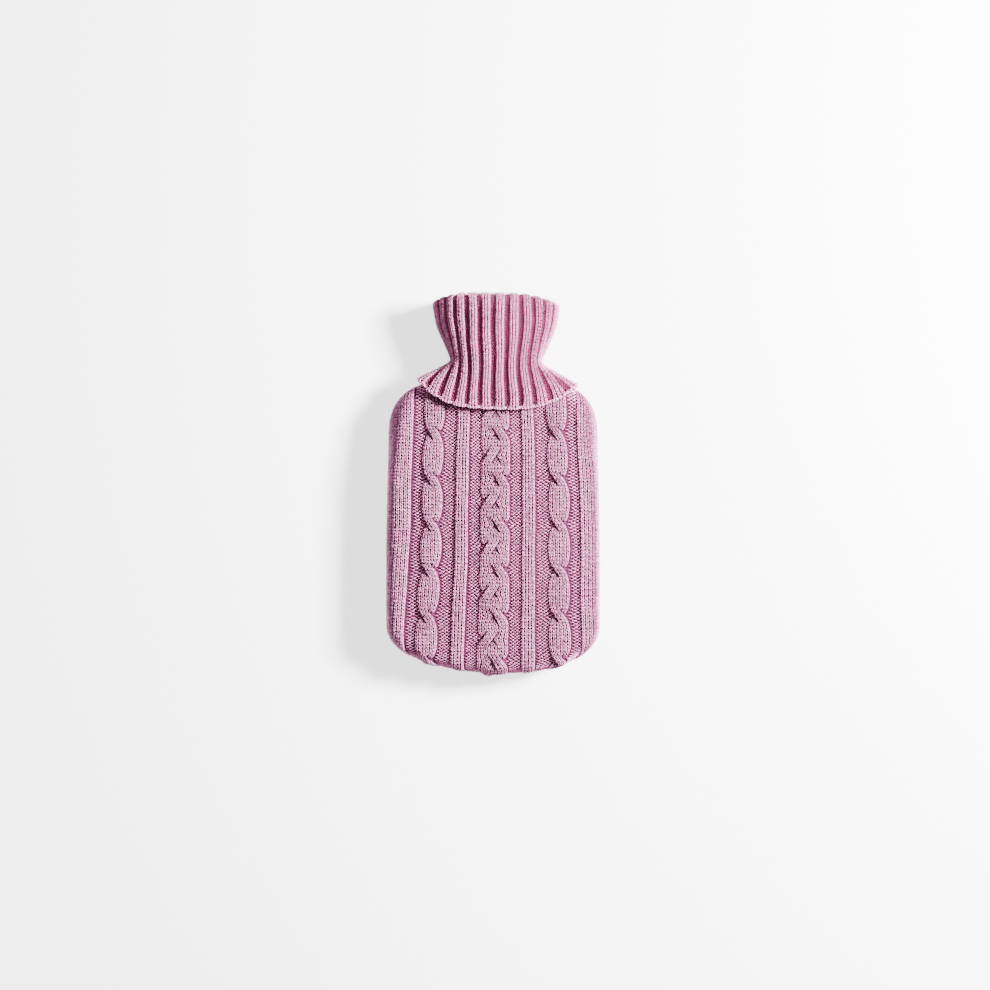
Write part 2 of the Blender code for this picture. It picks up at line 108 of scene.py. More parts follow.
FLOOR_SIZE = 6.0
select_nothing()
bpy.ops.mesh.primitive_plane_add(size=FLOOR_SIZE)
floor = bpy.context.object
floor.name = "floor"

add_light("key", "AREA", (1.40, 0.42, 1.06), (0.0, 0.0, 0.0), (0.42, 0.42), 325.0, (1.0, 0.985, 0.97))
add_light("top", "AREA", (0.0, 0.3, 2.4), (0.0, 0.0, 0.0), (1.4, 1.4), 14.0, (1.0, 1.0, 1.0))
world = bpy.context.scene.world or bpy.data.worlds.new("studio")
bpy.context.scene.world = world
world.use_nodes = True
sky = world.node_tree.nodes["Background"]
sky.inputs["Color"].default_value = (1.0, 0.99, 0.985, 1.0)
sky.inputs["Strength"].default_value = 0.33
print("a soft key light from the right, a weak one above, and a pale sky")

# %% [markdown]
# ## The body's form
#
# The cover is drawn tight over a filled bottle. Its skin is nearly flat on top, and beyond a line
# called the crown's edge it rounds over to the side seam. A box under a subdivision surface could take
# this form, but it wouldn't say where on the cloth each stitch lies. So the form is worked out from
# cloth that lies flat on a table: a point's distance outside the crown's edge says how far round the
# side it goes. The same few sizes that made the solid model make this form again.

# %% The body's sizes
HALF_WIDTH, SHOULDER_HALF_WIDTH = 100.0, 98.3
BOTTOM_Y, BOTTOM_CURVE, BOTTOM_LEAN = -178.25, 46.0, 9.0
SIDE_BULGE = 0.8
SHOULDER_Y, SHOULDER_TOP_Y, SHOULDER_SQUARENESS = 30.0, 98.5, 4.5
NECK_HALF_WIDTH, NECK_HOLLOW, NECK_TOP_Y = 35.0, 17.0, 120.0
SIDE_ROUND = 17.0  # how far in from the seam the cloth is rounded over
SIDE_SQUARENESS = 3.4  # of the front's rounding below the shoulders, where 2 is a plain ellipse
SEAM_Z, NECK_SEAM_Z = 17.0, 26.0
TOP_Z, SHOULDER_TOP_Z, NECK_TOP_Z, CROWN = 41.5, 38.5, 45.5, 4.5
BACK_RISE_Z, NECK_CLOTH, GAP = 6.5, 20.0, 0.45
# Where the heights change along the cover: the y at which each change starts, and its length.
SEAM_RISE, SHOULDER_DROP, NECK_RISE = (25.0, 80.0), (10.0, 65.0), (80.0, 40.0)
CROWN_RISE, CROWN_FALL = (BOTTOM_Y, 110.0), (-30.0, 120.0)
BACK_RISE, SIDE_SOFTENS, CLOTH_NARROWS = (42.0, 28.0), (0.0, 60.0), (55.0, 25.0)
NECK_RUN_OUT = 60.0  # the crown's edge runs on past the neck, so that cloth beyond it has an edge too
CURVE_POINTS = 40  # on each of the outline's curves
NEARLY_NONE = 1e-6


def smooth(t):
    """0 before 0, 1 after 1, and a soft step between."""
    t = np.clip(t, 0.0, 1.0)
    return t * t * (3.0 - 2.0 * t)


def changed(y, change):
    """How much of one of the changes along the cover has happened at y, from 0 to 1."""
    start, length = change
    return smooth((y - start) / length)


def seam_z(y):
    return SEAM_Z + (NECK_SEAM_Z - SEAM_Z) * changed(y, SEAM_RISE)


def front_z(x, y):
    shoulder = (SHOULDER_TOP_Z - TOP_Z) * changed(y, SHOULDER_DROP)
    neck = (NECK_TOP_Z - SHOULDER_TOP_Z) * changed(y, NECK_RISE)
    across = 0.5 + 0.5 * np.cos(np.pi * np.clip(x / HALF_WIDTH, -1.0, 1.0))
    along = changed(y, CROWN_RISE) * (1.0 - changed(y, CROWN_FALL))
    return TOP_Z + shoulder + neck + CROWN * across * along


print(f"the cover is {2 * HALF_WIDTH:.0f} mm wide and its front stands {TOP_Z + CROWN:.0f} mm high")


# %% The crown's edge
def crown_edge():
    """The line where the skin begins to round over, from the neck's right side round to its left."""
    wide, narrow = HALF_WIDTH - SIDE_ROUND, SHOULDER_HALF_WIDTH - SIDE_ROUND
    bottom_y = BOTTOM_Y + BOTTOM_CURVE
    angle = np.linspace(0.0, math.pi / 2, CURVE_POINTS)
    bottom = wide * np.sin(angle), bottom_y - (BOTTOM_CURVE - SIDE_ROUND) * np.cos(angle)

    side_y = np.linspace(bottom_y, SHOULDER_Y, CURVE_POINTS)[1:-1]
    bulge = SIDE_BULGE * np.sin(np.pi * (side_y - bottom_y) / (SHOULDER_Y - bottom_y))
    side = np.interp(side_y, (bottom_y, SHOULDER_Y), (wide, narrow)) + bulge, side_y

    neck_x = NECK_HALF_WIDTH - SIDE_ROUND
    hollow_r = NECK_HOLLOW + SIDE_ROUND
    hollow_x = neck_x + hollow_r
    rise = SHOULDER_TOP_Y - SIDE_ROUND - SHOULDER_Y
    power = 2 / SHOULDER_SQUARENESS
    angle = np.linspace(0.0, math.acos((hollow_x / narrow) ** (1 / power)), CURVE_POINTS)
    shoulder = narrow * np.cos(angle) ** power, SHOULDER_Y + rise * np.sin(angle) ** power
    hollow_y = shoulder[1][-1] + hollow_r
    angle = np.linspace(0.0, math.pi / 2, CURVE_POINTS // 2)[1:]
    hollow = hollow_x - hollow_r * np.sin(angle), hollow_y - hollow_r * np.cos(angle)
    neck = np.array((neck_x,)), np.array((NECK_TOP_Y + NECK_RUN_OUT,))

    right_x, right_y = np.concatenate((bottom, side, shoulder, hollow, neck), axis=1)
    x = np.concatenate((right_x[::-1], -right_x[1:]))
    y = np.concatenate((right_y[::-1], right_y[1:]))
    x += BOTTOM_LEAN * np.clip((bottom_y - y) / (BOTTOM_CURVE - SIDE_ROUND), 0.0, 1.0) ** 2
    return np.stack((x, y), axis=1)


CROWN_EDGE = crown_edge()
print("the crown's edge has", len(CROWN_EDGE), "points")


# %% [markdown]
# ### From flat cloth to the body
#
# Cloth that is drawn over an edge keeps its length, and so do its stitches. Dropped straight down onto
# the form they would be stretched to streaks at the side. So each point is taken to the nearest place
# on the crown's edge, and from there round the side by its own distance: what lies 5 mm outside the
# edge on the table lies 5 mm round the side on the bottle. Below the shoulders, where the bottle fills
# the cover best, the front's side is squarer than a plain ellipse.

# %% How far outside the crown's edge a point is
AT_ONCE = 4000  # points worked on at a time, which keeps the memory small


def off_the_crown(points):
    """The nearest point of the crown's edge, the way out from it, and how far out each point is."""
    if len(points) > AT_ONCE:
        parts = [off_the_crown(points[i : i + AT_ONCE]) for i in range(0, len(points), AT_ONCE)]
        return tuple(np.concatenate(p) for p in zip(*parts))
    a, b = CROWN_EDGE[:-1], CROWN_EDGE[1:]
    along = b - a
    length = np.hypot(along[:, 0], along[:, 1])
    outward = np.stack((-along[:, 1], along[:, 0]), axis=1) / length[:, None]
    rel = points[:, None, :] - a[None, :, :]
    share = np.clip((rel * along).sum(2) / length**2, 0.0, 1.0)
    feet = a + share[:, :, None] * along
    reach = points[:, None, :] - feet
    away = np.hypot(reach[:, :, 0], reach[:, :, 1])
    nearest = away.argmin(1)
    pick = np.arange(len(points))
    foot, reach, away = feet[pick, nearest], reach[pick, nearest], away[pick, nearest]
    inside = (reach * outward[nearest]).sum(1) < 0
    straight = reach / np.maximum(away, NEARLY_NONE)[:, None]
    way = np.where(away[:, None] > NEARLY_NONE, straight, outward[nearest])
    return foot, way, np.where(inside, -away, away)


print(f"the neck's middle is {-off_the_crown(np.array(((0.0, NECK_TOP_Y),)))[2][0]:.1f} mm inside it")


# %% Round the side
def square_side():
    """The front's side below the shoulders: its length, and by shares of that length from the crown's
    edge, how far it has reached out and how much of its height is left."""
    angle = np.linspace(0.0, math.pi / 2, CURVE_POINTS)
    reach, height = np.sin(angle) ** (2 / SIDE_SQUARENESS), np.cos(angle) ** (2 / SIDE_SQUARENESS)
    steps = np.hypot(np.diff(reach) * SIDE_ROUND, np.diff(height) * (TOP_Z - SEAM_Z))
    along = np.concatenate(((0.0,), np.cumsum(steps)))
    return along[-1], along / along[-1], reach, height


SQUARE_SIDE = square_side()


def squarer(y, face):
    """How much of the squarer side there is at y: all of it below the shoulders, and none on the back."""
    return (1.0 - changed(y, SIDE_SOFTENS)) * (face > 0)


def side_cloth(y, face):
    """The cloth's length round the side, from the crown's edge to the seam: a quarter of an ellipse, or
    the squarer side's length."""
    rise = TOP_Z - SEAM_Z if face > 0 else SEAM_Z
    quarter = math.pi / 2 * math.sqrt((SIDE_ROUND**2 + rise**2) / 2)
    quarter = quarter + (SQUARE_SIDE[0] - quarter) * squarer(y, face)
    return quarter + (NECK_CLOTH - quarter) * changed(y, CLOTH_NARROWS)


def side_form(share, y, face):
    """How far the side has reached out, and how much of its height is left, at a share of its cloth."""
    _, along, reach, height = SQUARE_SIDE
    round_reach, round_height = np.sin(share * math.pi / 2), np.cos(share * math.pi / 2)
    square = squarer(y, face)
    reach = round_reach + (np.interp(share, along, reach) - round_reach) * square
    return reach, round_height + (np.interp(share, along, height) - round_height) * square


def skin(points, face):
    """Where the skin of the front (face 1) or back (face -1) is, and how much cloth is left to the seam."""
    foot, way, out = off_the_crown(points)
    whole = side_cloth(foot[:, 1], face)
    reach, height = side_form(np.maximum(out, 0.0) / whole, foot[:, 1], face)
    plan = np.where(out[:, None] > 0, foot + way * (SIDE_ROUND * reach)[:, None], points)
    x, y = plan[:, 0], plan[:, 1]
    edge = seam_z(y) + face * GAP / 2
    flat = front_z(x, y) if face > 0 else BACK_RISE_Z * changed(y, BACK_RISE)
    return np.stack((x, y, edge + (flat - edge) * height), axis=1), whole - out


round_front, round_back = (side_cloth(SHOULDER_Y, face) for face in (1.0, -1.0))
print(f"cloth round the side: {round_front:.1f} mm in front, {round_back:.1f} behind")

# %% [markdown]
# ## A chart of the cloth
#
# Working that out for half a million points would take minutes. It is done once instead, on a grid
# finer than a stitch, and what lies between is read off the chart. A chart holds the place and the
# outward direction at each of its points, so a stitch can be set on the cloth and stand up from it.
# Where it goes right round, as on the collar, its first line of points is also its last.

# %% Charts
CHART_STEP = 1.5
CHART_LOW, CHART_HIGH = (-124.0, -202.0), (124.0, 123.0)
PAST_THE_LAST = 1.0001  # a point on the chart's last line is read from the cell before it


def chart(place, start, step, face=1.0, room=None, around=False):
    """A chart of a surface: its places, its outward directions, and how to look a point up."""
    if around:
        across = np.roll(place, -1, axis=1) - np.roll(place, 1, axis=1)
    else:
        across = np.gradient(place, axis=1)
    normal = np.cross(across, np.gradient(place, axis=0)) * face
    normal /= np.linalg.norm(normal, axis=2)[:, :, None]
    if around:
        place, normal = (np.concatenate((grid, grid[:, :1]), axis=1) for grid in (place, normal))
    return SimpleNamespace(place=place, normal=normal, start=start, step=step, room=room, face=face,
                           around=around)


def look_up(grid, chart_used, points):
    """Reads a grid at points of the flat cloth, weighing the four grid points round each."""
    cell = (points - np.array(chart_used.start)) / np.array(chart_used.step)
    size = np.array((grid.shape[1], grid.shape[0]))
    if chart_used.around:
        cell[..., 0] %= size[0] - 1
    cell = np.clip(cell, 0.0, size - PAST_THE_LAST)
    low = cell.astype(int)
    column, row = low[..., 0], low[..., 1]
    part = (cell - low).reshape(cell.shape + (1,) * (grid.ndim - 2))
    right, up = (part[..., 0, :], part[..., 1, :]) if grid.ndim > 2 else (part[..., 0], part[..., 1])
    lower = grid[row, column] * (1 - right) + grid[row, column + 1] * right
    upper = grid[row + 1, column] * (1 - right) + grid[row + 1, column + 1] * right
    return lower * (1 - up) + upper * up


def on_cloth(chart_used, points, height):
    """The place in space of points of the flat cloth, raised by height."""
    place = look_up(chart_used.place, chart_used, points)
    normal = look_up(chart_used.normal, chart_used, points)
    normal /= np.linalg.norm(normal, axis=-1)[..., None]
    return place + normal * height[..., None]


def panel_chart(face):
    x = np.arange(CHART_LOW[0], CHART_HIGH[0], CHART_STEP)
    y = np.arange(CHART_LOW[1], CHART_HIGH[1], CHART_STEP)
    flat = np.stack(np.meshgrid(x, y), axis=-1)
    place, room = skin(flat.reshape(-1, 2), face)
    place, room = place.reshape(len(y), len(x), 3), room.reshape(len(y), len(x))
    return chart(place, CHART_LOW, (CHART_STEP, CHART_STEP), face, room)


FRONT, BACK = panel_chart(1.0), panel_chart(-1.0)

# %% [markdown]
# ## The pattern
#
# Knitted rows are three millimetres high here, and 14 of them make one turn of a cable. Counting from
# the middle, there is a plait of three strands, a purl valley, a rib four stitches wide, a second
# valley, a rope of two strands, a third valley, and then plain knit round the side. Lines that are
# ruled straight would look like a machine's, so each wanders a little from its course, and the whole
# pattern drifts and narrows towards the neck as it does on the real cover.

# %% Where each line of stitches runs
ROWS_A_TURN = 14
REPEAT = 42.84
ROW = REPEAT / ROWS_A_TURN
WALE = 3.1  # the width of a stitch
ROWS_FROM, ROWS_TO = -82, 23  # counted up from the middle of a crossing, at TURN_Y
TURN_Y = 48.2
RIB_BAND, ROPE_MIDDLE, PATTERN_EDGE = (25.2, 37.6), 59.7, 79.5
PATTERN_END = (86.0, 14.0)  # the relief ends under the collar, from this y and over this length
SEAM_PULL = 10.0  # and over this much cloth before the seam
WALE_FAN = 0.0004  # how much narrower the pattern is, for each mm up from DRIFT_Y
WALE_SHIFT, WALE_DRIFT = 2.2, -2.42  # its middle lies this far right, and below DRIFT_Y drifts left
DRIFT_Y, DRIFT_LENGTH = -29.0, 130.0
WANDER, SMALL_WAVE = 0.35, 0.6  # how far lines wander, and the share that a second wave adds
WANDER_UP, WANDER_ACROSS = (23.0, 11.0), (31.0, 17.0)  # both waves, in mm for a radian


def drift(y):
    """How far to the right the pattern's middle lies at y."""
    return WALE_SHIFT + WALE_DRIFT * smooth((DRIFT_Y - y) / DRIFT_LENGTH)


def wale_x(x, y):
    """Where a line of stitches, x from the pattern's middle, really runs at y."""
    first = np.sin(y / WANDER_UP[0] + x / WANDER_ACROSS[0])
    second = SMALL_WAVE * np.sin(y / WANDER_UP[1] - x / WANDER_ACROSS[1])
    return x * (1.0 - WALE_FAN * (y - DRIFT_Y)) + drift(y) + WANDER * (first + second)


def pattern_x(x, y):
    """The inverse, near enough: how far from the pattern's middle the cloth's point x, y is."""
    return (x - drift(y)) / (1.0 - WALE_FAN * (y - DRIFT_Y))


rows_shown = np.arange(ROWS_FROM, ROWS_TO)
print("rows of stitches:", len(rows_shown), "from y", round(TURN_Y + ROW * rows_shown[0]), "to",
      round(TURN_Y + ROW * rows_shown[-1]), "mm")

# %% [markdown]
# ### Strands that cross
#
# A knitter makes a cable by lifting three stitches over the next three with a spare needle, every few
# rows. Tubes laid over each other would have its outline, but not its look: a real strand is the same
# cloth drawn aside, flat between the crossings and rounded up at them. So each strand is described by
# its middle, its half width and its height at every y, and both the stitches and the ground follow.

# %% Ropes and plait
STRAND_STITCHES = 3
ROPE_HALF_WIDTH, ROPE_HALF_WAIST = 10.2, 5.2  # between its crossings, and at them
ROPE_SWELL = 2.5  # how soon a rope is wide again after a crossing
ROPE_CROSSING, PLAIT_CROSSING = 8.0, 9.5  # a crossing reaches this far up and down
PLAIT_HALF_WIDTH = 13.9
STRAND_SLANT = 0.5  # how much wider half a strand is, measured across, where it slants over to cross
PURL, STRAND_TOP, STRAND_CROSSING_RISE = -1.8, 1.0, 1.5  # heights over the plain skin, and what is added
STRAND_ROUNDNESS = 2.6
STRANDS_PART = 1.6  # how soon near a crossing each strand rounds by itself

# over is 1 where a strand passes over, -1 where it passes under, and 0 where it lies by itself.
Strand = namedtuple("Strand", "middle half_width over near")


def over_crossing(y, row_y, lower=0.0):
    """How far y is above the middle of the crossing nearest to row_y. The middle is lower by that much."""
    return (row_y - TURN_Y + lower + REPEAT / 2) % REPEAT - REPEAT / 2 + (y - row_y)


def crossing(above, half_length):
    """-1 above a crossing, 1 below it, swinging softly between."""
    return -np.sin(math.pi / 2 * np.clip(above / half_length, -1.0, 1.0))


def round_top(share, power=STRAND_ROUNDNESS):
    """The height of a rounded band, 1 in its middle and 0 at its edges, where share is -1 or 1."""
    return np.sqrt(np.clip(1.0 - np.abs(share) ** power, 0.0, 1.0))


def strand_top(x, left, right, strand):
    """The height of one strand of a cable. Away from its crossings the strands lie side by side as one
    rounded band, and where they cross each one rounds by itself."""
    band = round_top((2.0 * x - right - left) / (right - left))
    own = round_top((x - strand.middle) / strand.half_width)
    level = STRAND_TOP - PURL + strand.over * STRAND_CROSSING_RISE * strand.near
    return PURL + level * (band + (own - band) * smooth(STRANDS_PART * strand.near))


def rope(y, row_y):
    """A rope's edges, and its two strands: the middle of each, its half width, whether it passes over,
    and how near it is to the crossing. The one from the left passes over to the right."""
    above = over_crossing(y, row_y)
    narrowed = np.clip(1.0 - np.abs(above) / (REPEAT / 2), 0.0, 1.0) ** ROPE_SWELL
    edge = ROPE_HALF_WIDTH - (ROPE_HALF_WIDTH - ROPE_HALF_WAIST) * narrowed
    swing = crossing(above, ROPE_CROSSING)
    past_middle = ROPE_HALF_WAIST * (1.0 - np.abs(swing))
    middle, half = np.copysign((edge - past_middle) / 2, swing), (edge + past_middle) / 2
    near = 1.0 - swing**2
    return -edge, edge, (Strand(middle, half, 1.0, near), Strand(-middle, half, -1.0, near))


def plait(y, row_y):
    """The same for the plait's three. The middle strand passes out over the right one, then over the
    left one, in turn, and the third spreads to fill the room that the two leave it."""
    side = np.where(np.abs(over_crossing(row_y, row_y)) <= REPEAT / 4, 1.0, -1.0)
    above = np.where(side > 0, over_crossing(y, row_y), over_crossing(y, row_y, REPEAT / 2))
    swing = crossing(above, PLAIT_CROSSING)
    near = 1.0 - swing**2
    third = PLAIT_HALF_WIDTH / 3
    half = third + STRAND_SLANT * near
    outer, inner = third * (1.0 + np.abs(swing)) + half, third * (1.0 - np.abs(swing)) - half
    strands = (
        Strand(side * third * (1.0 + swing), half, 1.0, near),
        Strand(side * third * (1.0 - swing), half, -1.0, near),
        Strand(side * (inner - PLAIT_HALF_WIDTH) / 2, (inner + PLAIT_HALF_WIDTH) / 2, 0.0, 0.0 * near),
    )
    one, other = -side * PLAIT_HALF_WIDTH, side * outer
    return np.minimum(one, other), np.maximum(one, other), strands


def cable_top(x, y, cable):
    """The height of a whole cable, x from its middle."""
    left, right, strands = cable(y, y)
    top = np.full_like(x, PURL)
    for strand in strands:
        within = np.abs(x - strand.middle) <= strand.half_width
        top = np.where(within, np.maximum(top, strand_top(x, left, right, strand)), top)
    return top


print(f"a rope is {2 * ROPE_HALF_WIDTH:.1f} mm wide, {2 * ROPE_HALF_WAIST:.1f} at its crossings")
print(f"the plait is {2 * PLAIT_HALF_WIDTH:.1f} mm wide, and both turn every {REPEAT:.1f} mm")

# %% The relief of the front
RIB_HEIGHT, RIB_SQUARENESS = 0.4, 4.0
GROUND_RISES = 2.0  # the plain knit's ground comes up over this much, at the pattern's edge


def rib_top(share):
    """The height of a rib, where share is -1 or 1 at its edges."""
    return PURL + (RIB_HEIGHT - PURL) * round_top(share, RIB_SQUARENESS)


def relief(x, y, room):
    """How far the front's ground stands above its plain skin, x from the pattern's middle."""
    far = np.abs(x)
    height = rib_top((far - sum(RIB_BAND) / 2) / ((RIB_BAND[1] - RIB_BAND[0]) / 2))
    height = np.maximum(height, PURL * (1.0 - smooth((far - PATTERN_EDGE) / GROUND_RISES)))
    height = np.maximum(height, cable_top(x, y, plait))
    height = np.maximum(height, cable_top(x - np.sign(x) * ROPE_MIDDLE, y, rope))
    return height * (1.0 - changed(y, PATTERN_END)) * smooth(room / SEAM_PULL)


up_the_middle = relief(np.zeros(200), np.linspace(-150.0, 80.0, 200), np.full(200, 100.0))
print(f"the plait's ground stands {up_the_middle.min():.1f} to {up_the_middle.max():.1f} mm high")

# %% [markdown]
# ## One stitch
#
# A knit stitch shows the two legs of a loop, a V. In the ribs it is drawn together, and on the cables
# and round the side it stands open. A purl stitch shows the loop's head and the yarn that joins it to
# the next one, two little arcs, one up and one down. A bump map could hint at them, but it lies flat
# at the outline and leaves nothing in the meshes. Each stitch is real yarn here, so each
# length starts as the same three-sided sphere, drawn out long, and is bent along its own line. It has
# a few dozen faces, because there are some twenty thousand stitches.

# %% A length of yarn
SLICE = 0.05  # the yarn's direction is taken over this share of its length, to either side
CORNER = 1.1547  # a three-sided yarn's corners stand this much farther out, for the same width


def in_order(mesh):
    """The corners of the mesh's faces. A new sphere's faces come in any order and start at any point,
    so each is turned to start at its lowest one, and then they are sorted: every run is alike."""
    point = [loop.vertex_index for loop in mesh.loops]
    faces = []
    for polygon in mesh.polygons:
        corners = list(polygon.loop_indices)
        first = min(range(len(corners)), key=lambda i: point[corners[i]])
        faces.append(corners[first:] + corners[:first])
    faces.sort(key=lambda corners: [point[corner] for corner in corners])
    return [corner for face in faces for corner in face]


def yarn_piece(name, rings):
    """A sphere with three sides, read as places along the yarn (0 to 1) and round it."""
    select_nothing()
    bpy.ops.mesh.primitive_uv_sphere_add(segments=3, ring_count=rings, radius=1.0)
    sphere = bpy.context.object
    sphere.name = name
    bpy.ops.object.mode_set(mode="EDIT")
    bpy.ops.mesh.select_all(action="SELECT")
    bpy.ops.mesh.quads_convert_to_tris()
    bpy.ops.object.mode_set(mode="OBJECT")
    mesh = sphere.data
    co = np.array([v.co for v in mesh.vertices])
    corners = in_order(mesh)
    faces = np.array([mesh.loops[corner].vertex_index for corner in corners]).reshape(-1, 3)
    uv = np.array([mesh.uv_layers.active.uv[corner].vector[:] for corner in corners])
    along = np.arccos(np.clip(-co[:, 2], -1, 1)) / math.pi
    bpy.data.objects.remove(sphere)
    return SimpleNamespace(co=co, faces=faces, uv=uv, along=along)


def bend(piece, line, half_width, thickness):
    """The piece bent along a line of (across, up, height) points, in shares of a stitch and mm.

    half_width is the yarn's, in shares of a stitch across, and thickness its height in mm."""
    line = np.array(line, dtype=float)
    share = np.linspace(0.0, 1.0, len(line))

    def on_line(t, parts):
        return np.stack([np.interp(t, share, line[:, k]) for k in range(parts)], axis=1)

    middle = on_line(piece.along, 3)
    ahead, behind = (on_line(np.clip(piece.along + step, 0, 1), 2) for step in (SLICE, -SLICE))
    way = (ahead - behind) * np.array((WALE, ROW))
    way /= np.hypot(way[:, 0], way[:, 1])[:, None]
    turned = np.arctan2(piece.co[:, 1], piece.co[:, 0])
    ring = np.hypot(piece.co[:, 0], piece.co[:, 1]) > NEARLY_NONE
    aside, up = ring * np.sin(turned), ring * np.cos(turned)
    middle[:, 0] += aside * way[:, 1] * half_width * CORNER
    middle[:, 1] -= aside * way[:, 0] * half_width * CORNER * WALE / ROW
    middle[:, 2] += up * thickness
    return middle


LONG, SHORT = yarn_piece("long_yarn", 4), yarn_piece("short_yarn", 3)
print("a long length of yarn has", len(LONG.faces), "faces and a short one", len(SHORT.faces))

# %% Knit and purl stitches
YARN, THIN_YARN = 0.9, 0.62  # half its height in mm, and on the back, where it is drawn flatter
LEG_WIDTH, ARC_WIDTH = 0.12, 0.165  # half the width of a leg or an arc, as a share of the stitch
PURL_UNSHADED_FROM = 0.6  # from this height up, in mm, a purl arc has no painted shade
FULL_SHADE = 1.2  # so many thicknesses below its top, yarn has its full painted shade colour
YARN_LENGTH = 4.0  # mm of yarn in a leg or an arc, near enough, for the map that its twist follows
LEG = (
    # across and up, in shares of a stitch, and height in mm
    (0.05, -0.30, -0.55), (0.10, 0.0, 0.25), (0.18, 0.45, 0.30), (0.27, 0.90, 0.0), (0.33, 1.12, -0.6),
)
OPEN_LEG = (
    (0.06, -0.30, -0.55), (0.12, 0.0, 0.25), (0.21, 0.45, 0.30), (0.30, 0.90, 0.0), (0.35, 1.12, -0.6),
)
HEAD = (
    (-0.46, -0.2, -1.0), (-0.25, 0.0, 0.15), (0.0, 0.08, 0.65), (0.25, 0.0, 0.15), (0.46, -0.2, -1.0),
)
SINKER = [(across + 0.5, 0.5 - up, height - 0.1) for across, up, height in HEAD]


def mirrored(line):
    return [(-across, up, height) for across, up, height in line]


def stitch(piece, lines, half_width, thickness, unshaded_from):
    """Several lengths of yarn as one stitch: its points, faces, yarn map and how deep each point lies,
    which sets its painted shade. Above the last height given, in mm, the yarn has no painted shade."""
    points = [bend(piece, line, half_width, thickness) for line in lines]
    faces = [piece.faces + i * len(piece.co) for i in range(len(lines))]
    uv = np.tile(piece.uv, (len(lines), 1)) * np.array((1.0, YARN_LENGTH))
    points = np.concatenate(points)
    # Painted shade: the lower a point lies below that height, the more of the deep colour it gets.
    depth = np.clip((unshaded_from - points[:, 2]) / (thickness * FULL_SHADE), 0.0, 1.0)
    return SimpleNamespace(points=points, faces=np.concatenate(faces), uv=uv, depth=depth)


KNIT = stitch(LONG, (LEG, mirrored(LEG)), LEG_WIDTH, YARN, YARN)
OPEN_KNIT = stitch(LONG, (OPEN_LEG, mirrored(OPEN_LEG)), LEG_WIDTH, YARN, YARN)
KNIT_SMALL = stitch(SHORT, (LEG, mirrored(LEG)), LEG_WIDTH, THIN_YARN, THIN_YARN)
PURL_STITCH = stitch(SHORT, (HEAD, SINKER), ARC_WIDTH, YARN, PURL_UNSHADED_FROM)
print("faces: knit", len(KNIT.faces), "small knit", len(KNIT_SMALL.faces), "purl", len(PURL_STITCH.faces))

# %% [markdown]
# ### Setting stitches on the cloth
#
# On the needles every stitch hangs in its row beside its neighbours. Copies of one object, placed by a
# modifier, could stand in for them, but each would be stiff: a stitch has to follow the cloth under
# it, which bends and narrows. So every point of every stitch is moved onto the cloth by itself, and a
# band's stitches are joined in one mesh. No two are alike, so each is a little off its place, a little
# higher or lower, and a little lighter or darker. Two values at each point say how deep the yarn lies,
# which sets its painted shade, and which tone it has: its own, with tones of painted light added. The
# material reads them.


# %% A mesh from its points
def mesh_object(name, points, faces, corners=None, flat=None, **values):
    """A mesh of triangles or quads, in metres, with its yarn map, flat map and values at its points."""
    sides = faces.shape[1]
    mesh = bpy.data.meshes.new(name)
    mesh.vertices.add(len(points))
    mesh.vertices.foreach_set("co", (points * MM).astype(np.float32).ravel())
    mesh.loops.add(faces.size)
    mesh.loops.foreach_set("vertex_index", faces.astype(np.int32).ravel())
    mesh.polygons.add(len(faces))
    mesh.polygons.foreach_set("loop_start", np.arange(0, faces.size, sides, dtype=np.int32))
    mesh.polygons.foreach_set("use_smooth", np.ones(len(faces), dtype=bool))
    for map_name, uv in (("yarn", corners), ("OFBake", flat)):
        if uv is not None:
            mesh.uv_layers.new(name=map_name).data.foreach_set("uv", uv.astype(np.float32).ravel())
    for value_name, at_points in values.items():
        attribute = mesh.attributes.new(value_name, "FLOAT", "POINT")
        attribute.data.foreach_set("value", at_points.astype(np.float32).ravel())
    mesh.update()
    mesh.validate()
    made = bpy.data.objects.new(name, mesh)
    bpy.context.scene.collection.objects.link(made)
    return made


JOIN_MARGIN = 0.02  # the share of the map that is kept free on either side


def flat_map(chart_used, points):
    """Points of the flat cloth as shares of the chart, for the map that colours are baked through. A
    chart that goes around has a margin on both sides, for what lies over its join."""
    size = np.array((chart_used.place.shape[1], chart_used.place.shape[0])) - 1
    share = (points - np.array(chart_used.start)) / (np.array(chart_used.step) * size)
    if chart_used.around:
        share[..., 0] = JOIN_MARGIN + (1.0 - 2.0 * JOIN_MARGIN) * share[..., 0]
    return share


print("meshes have a map along their yarn, and a flat one for baking")

# %% Many stitches as one piece
UNEVEN_ACROSS, UNEVEN_UP, UNEVEN_HEIGHT = 0.02, 0.03, 0.06  # how much stitches differ, in shares
STITCH_TONES = 1.4  # how much one stitch differs from the next in tone


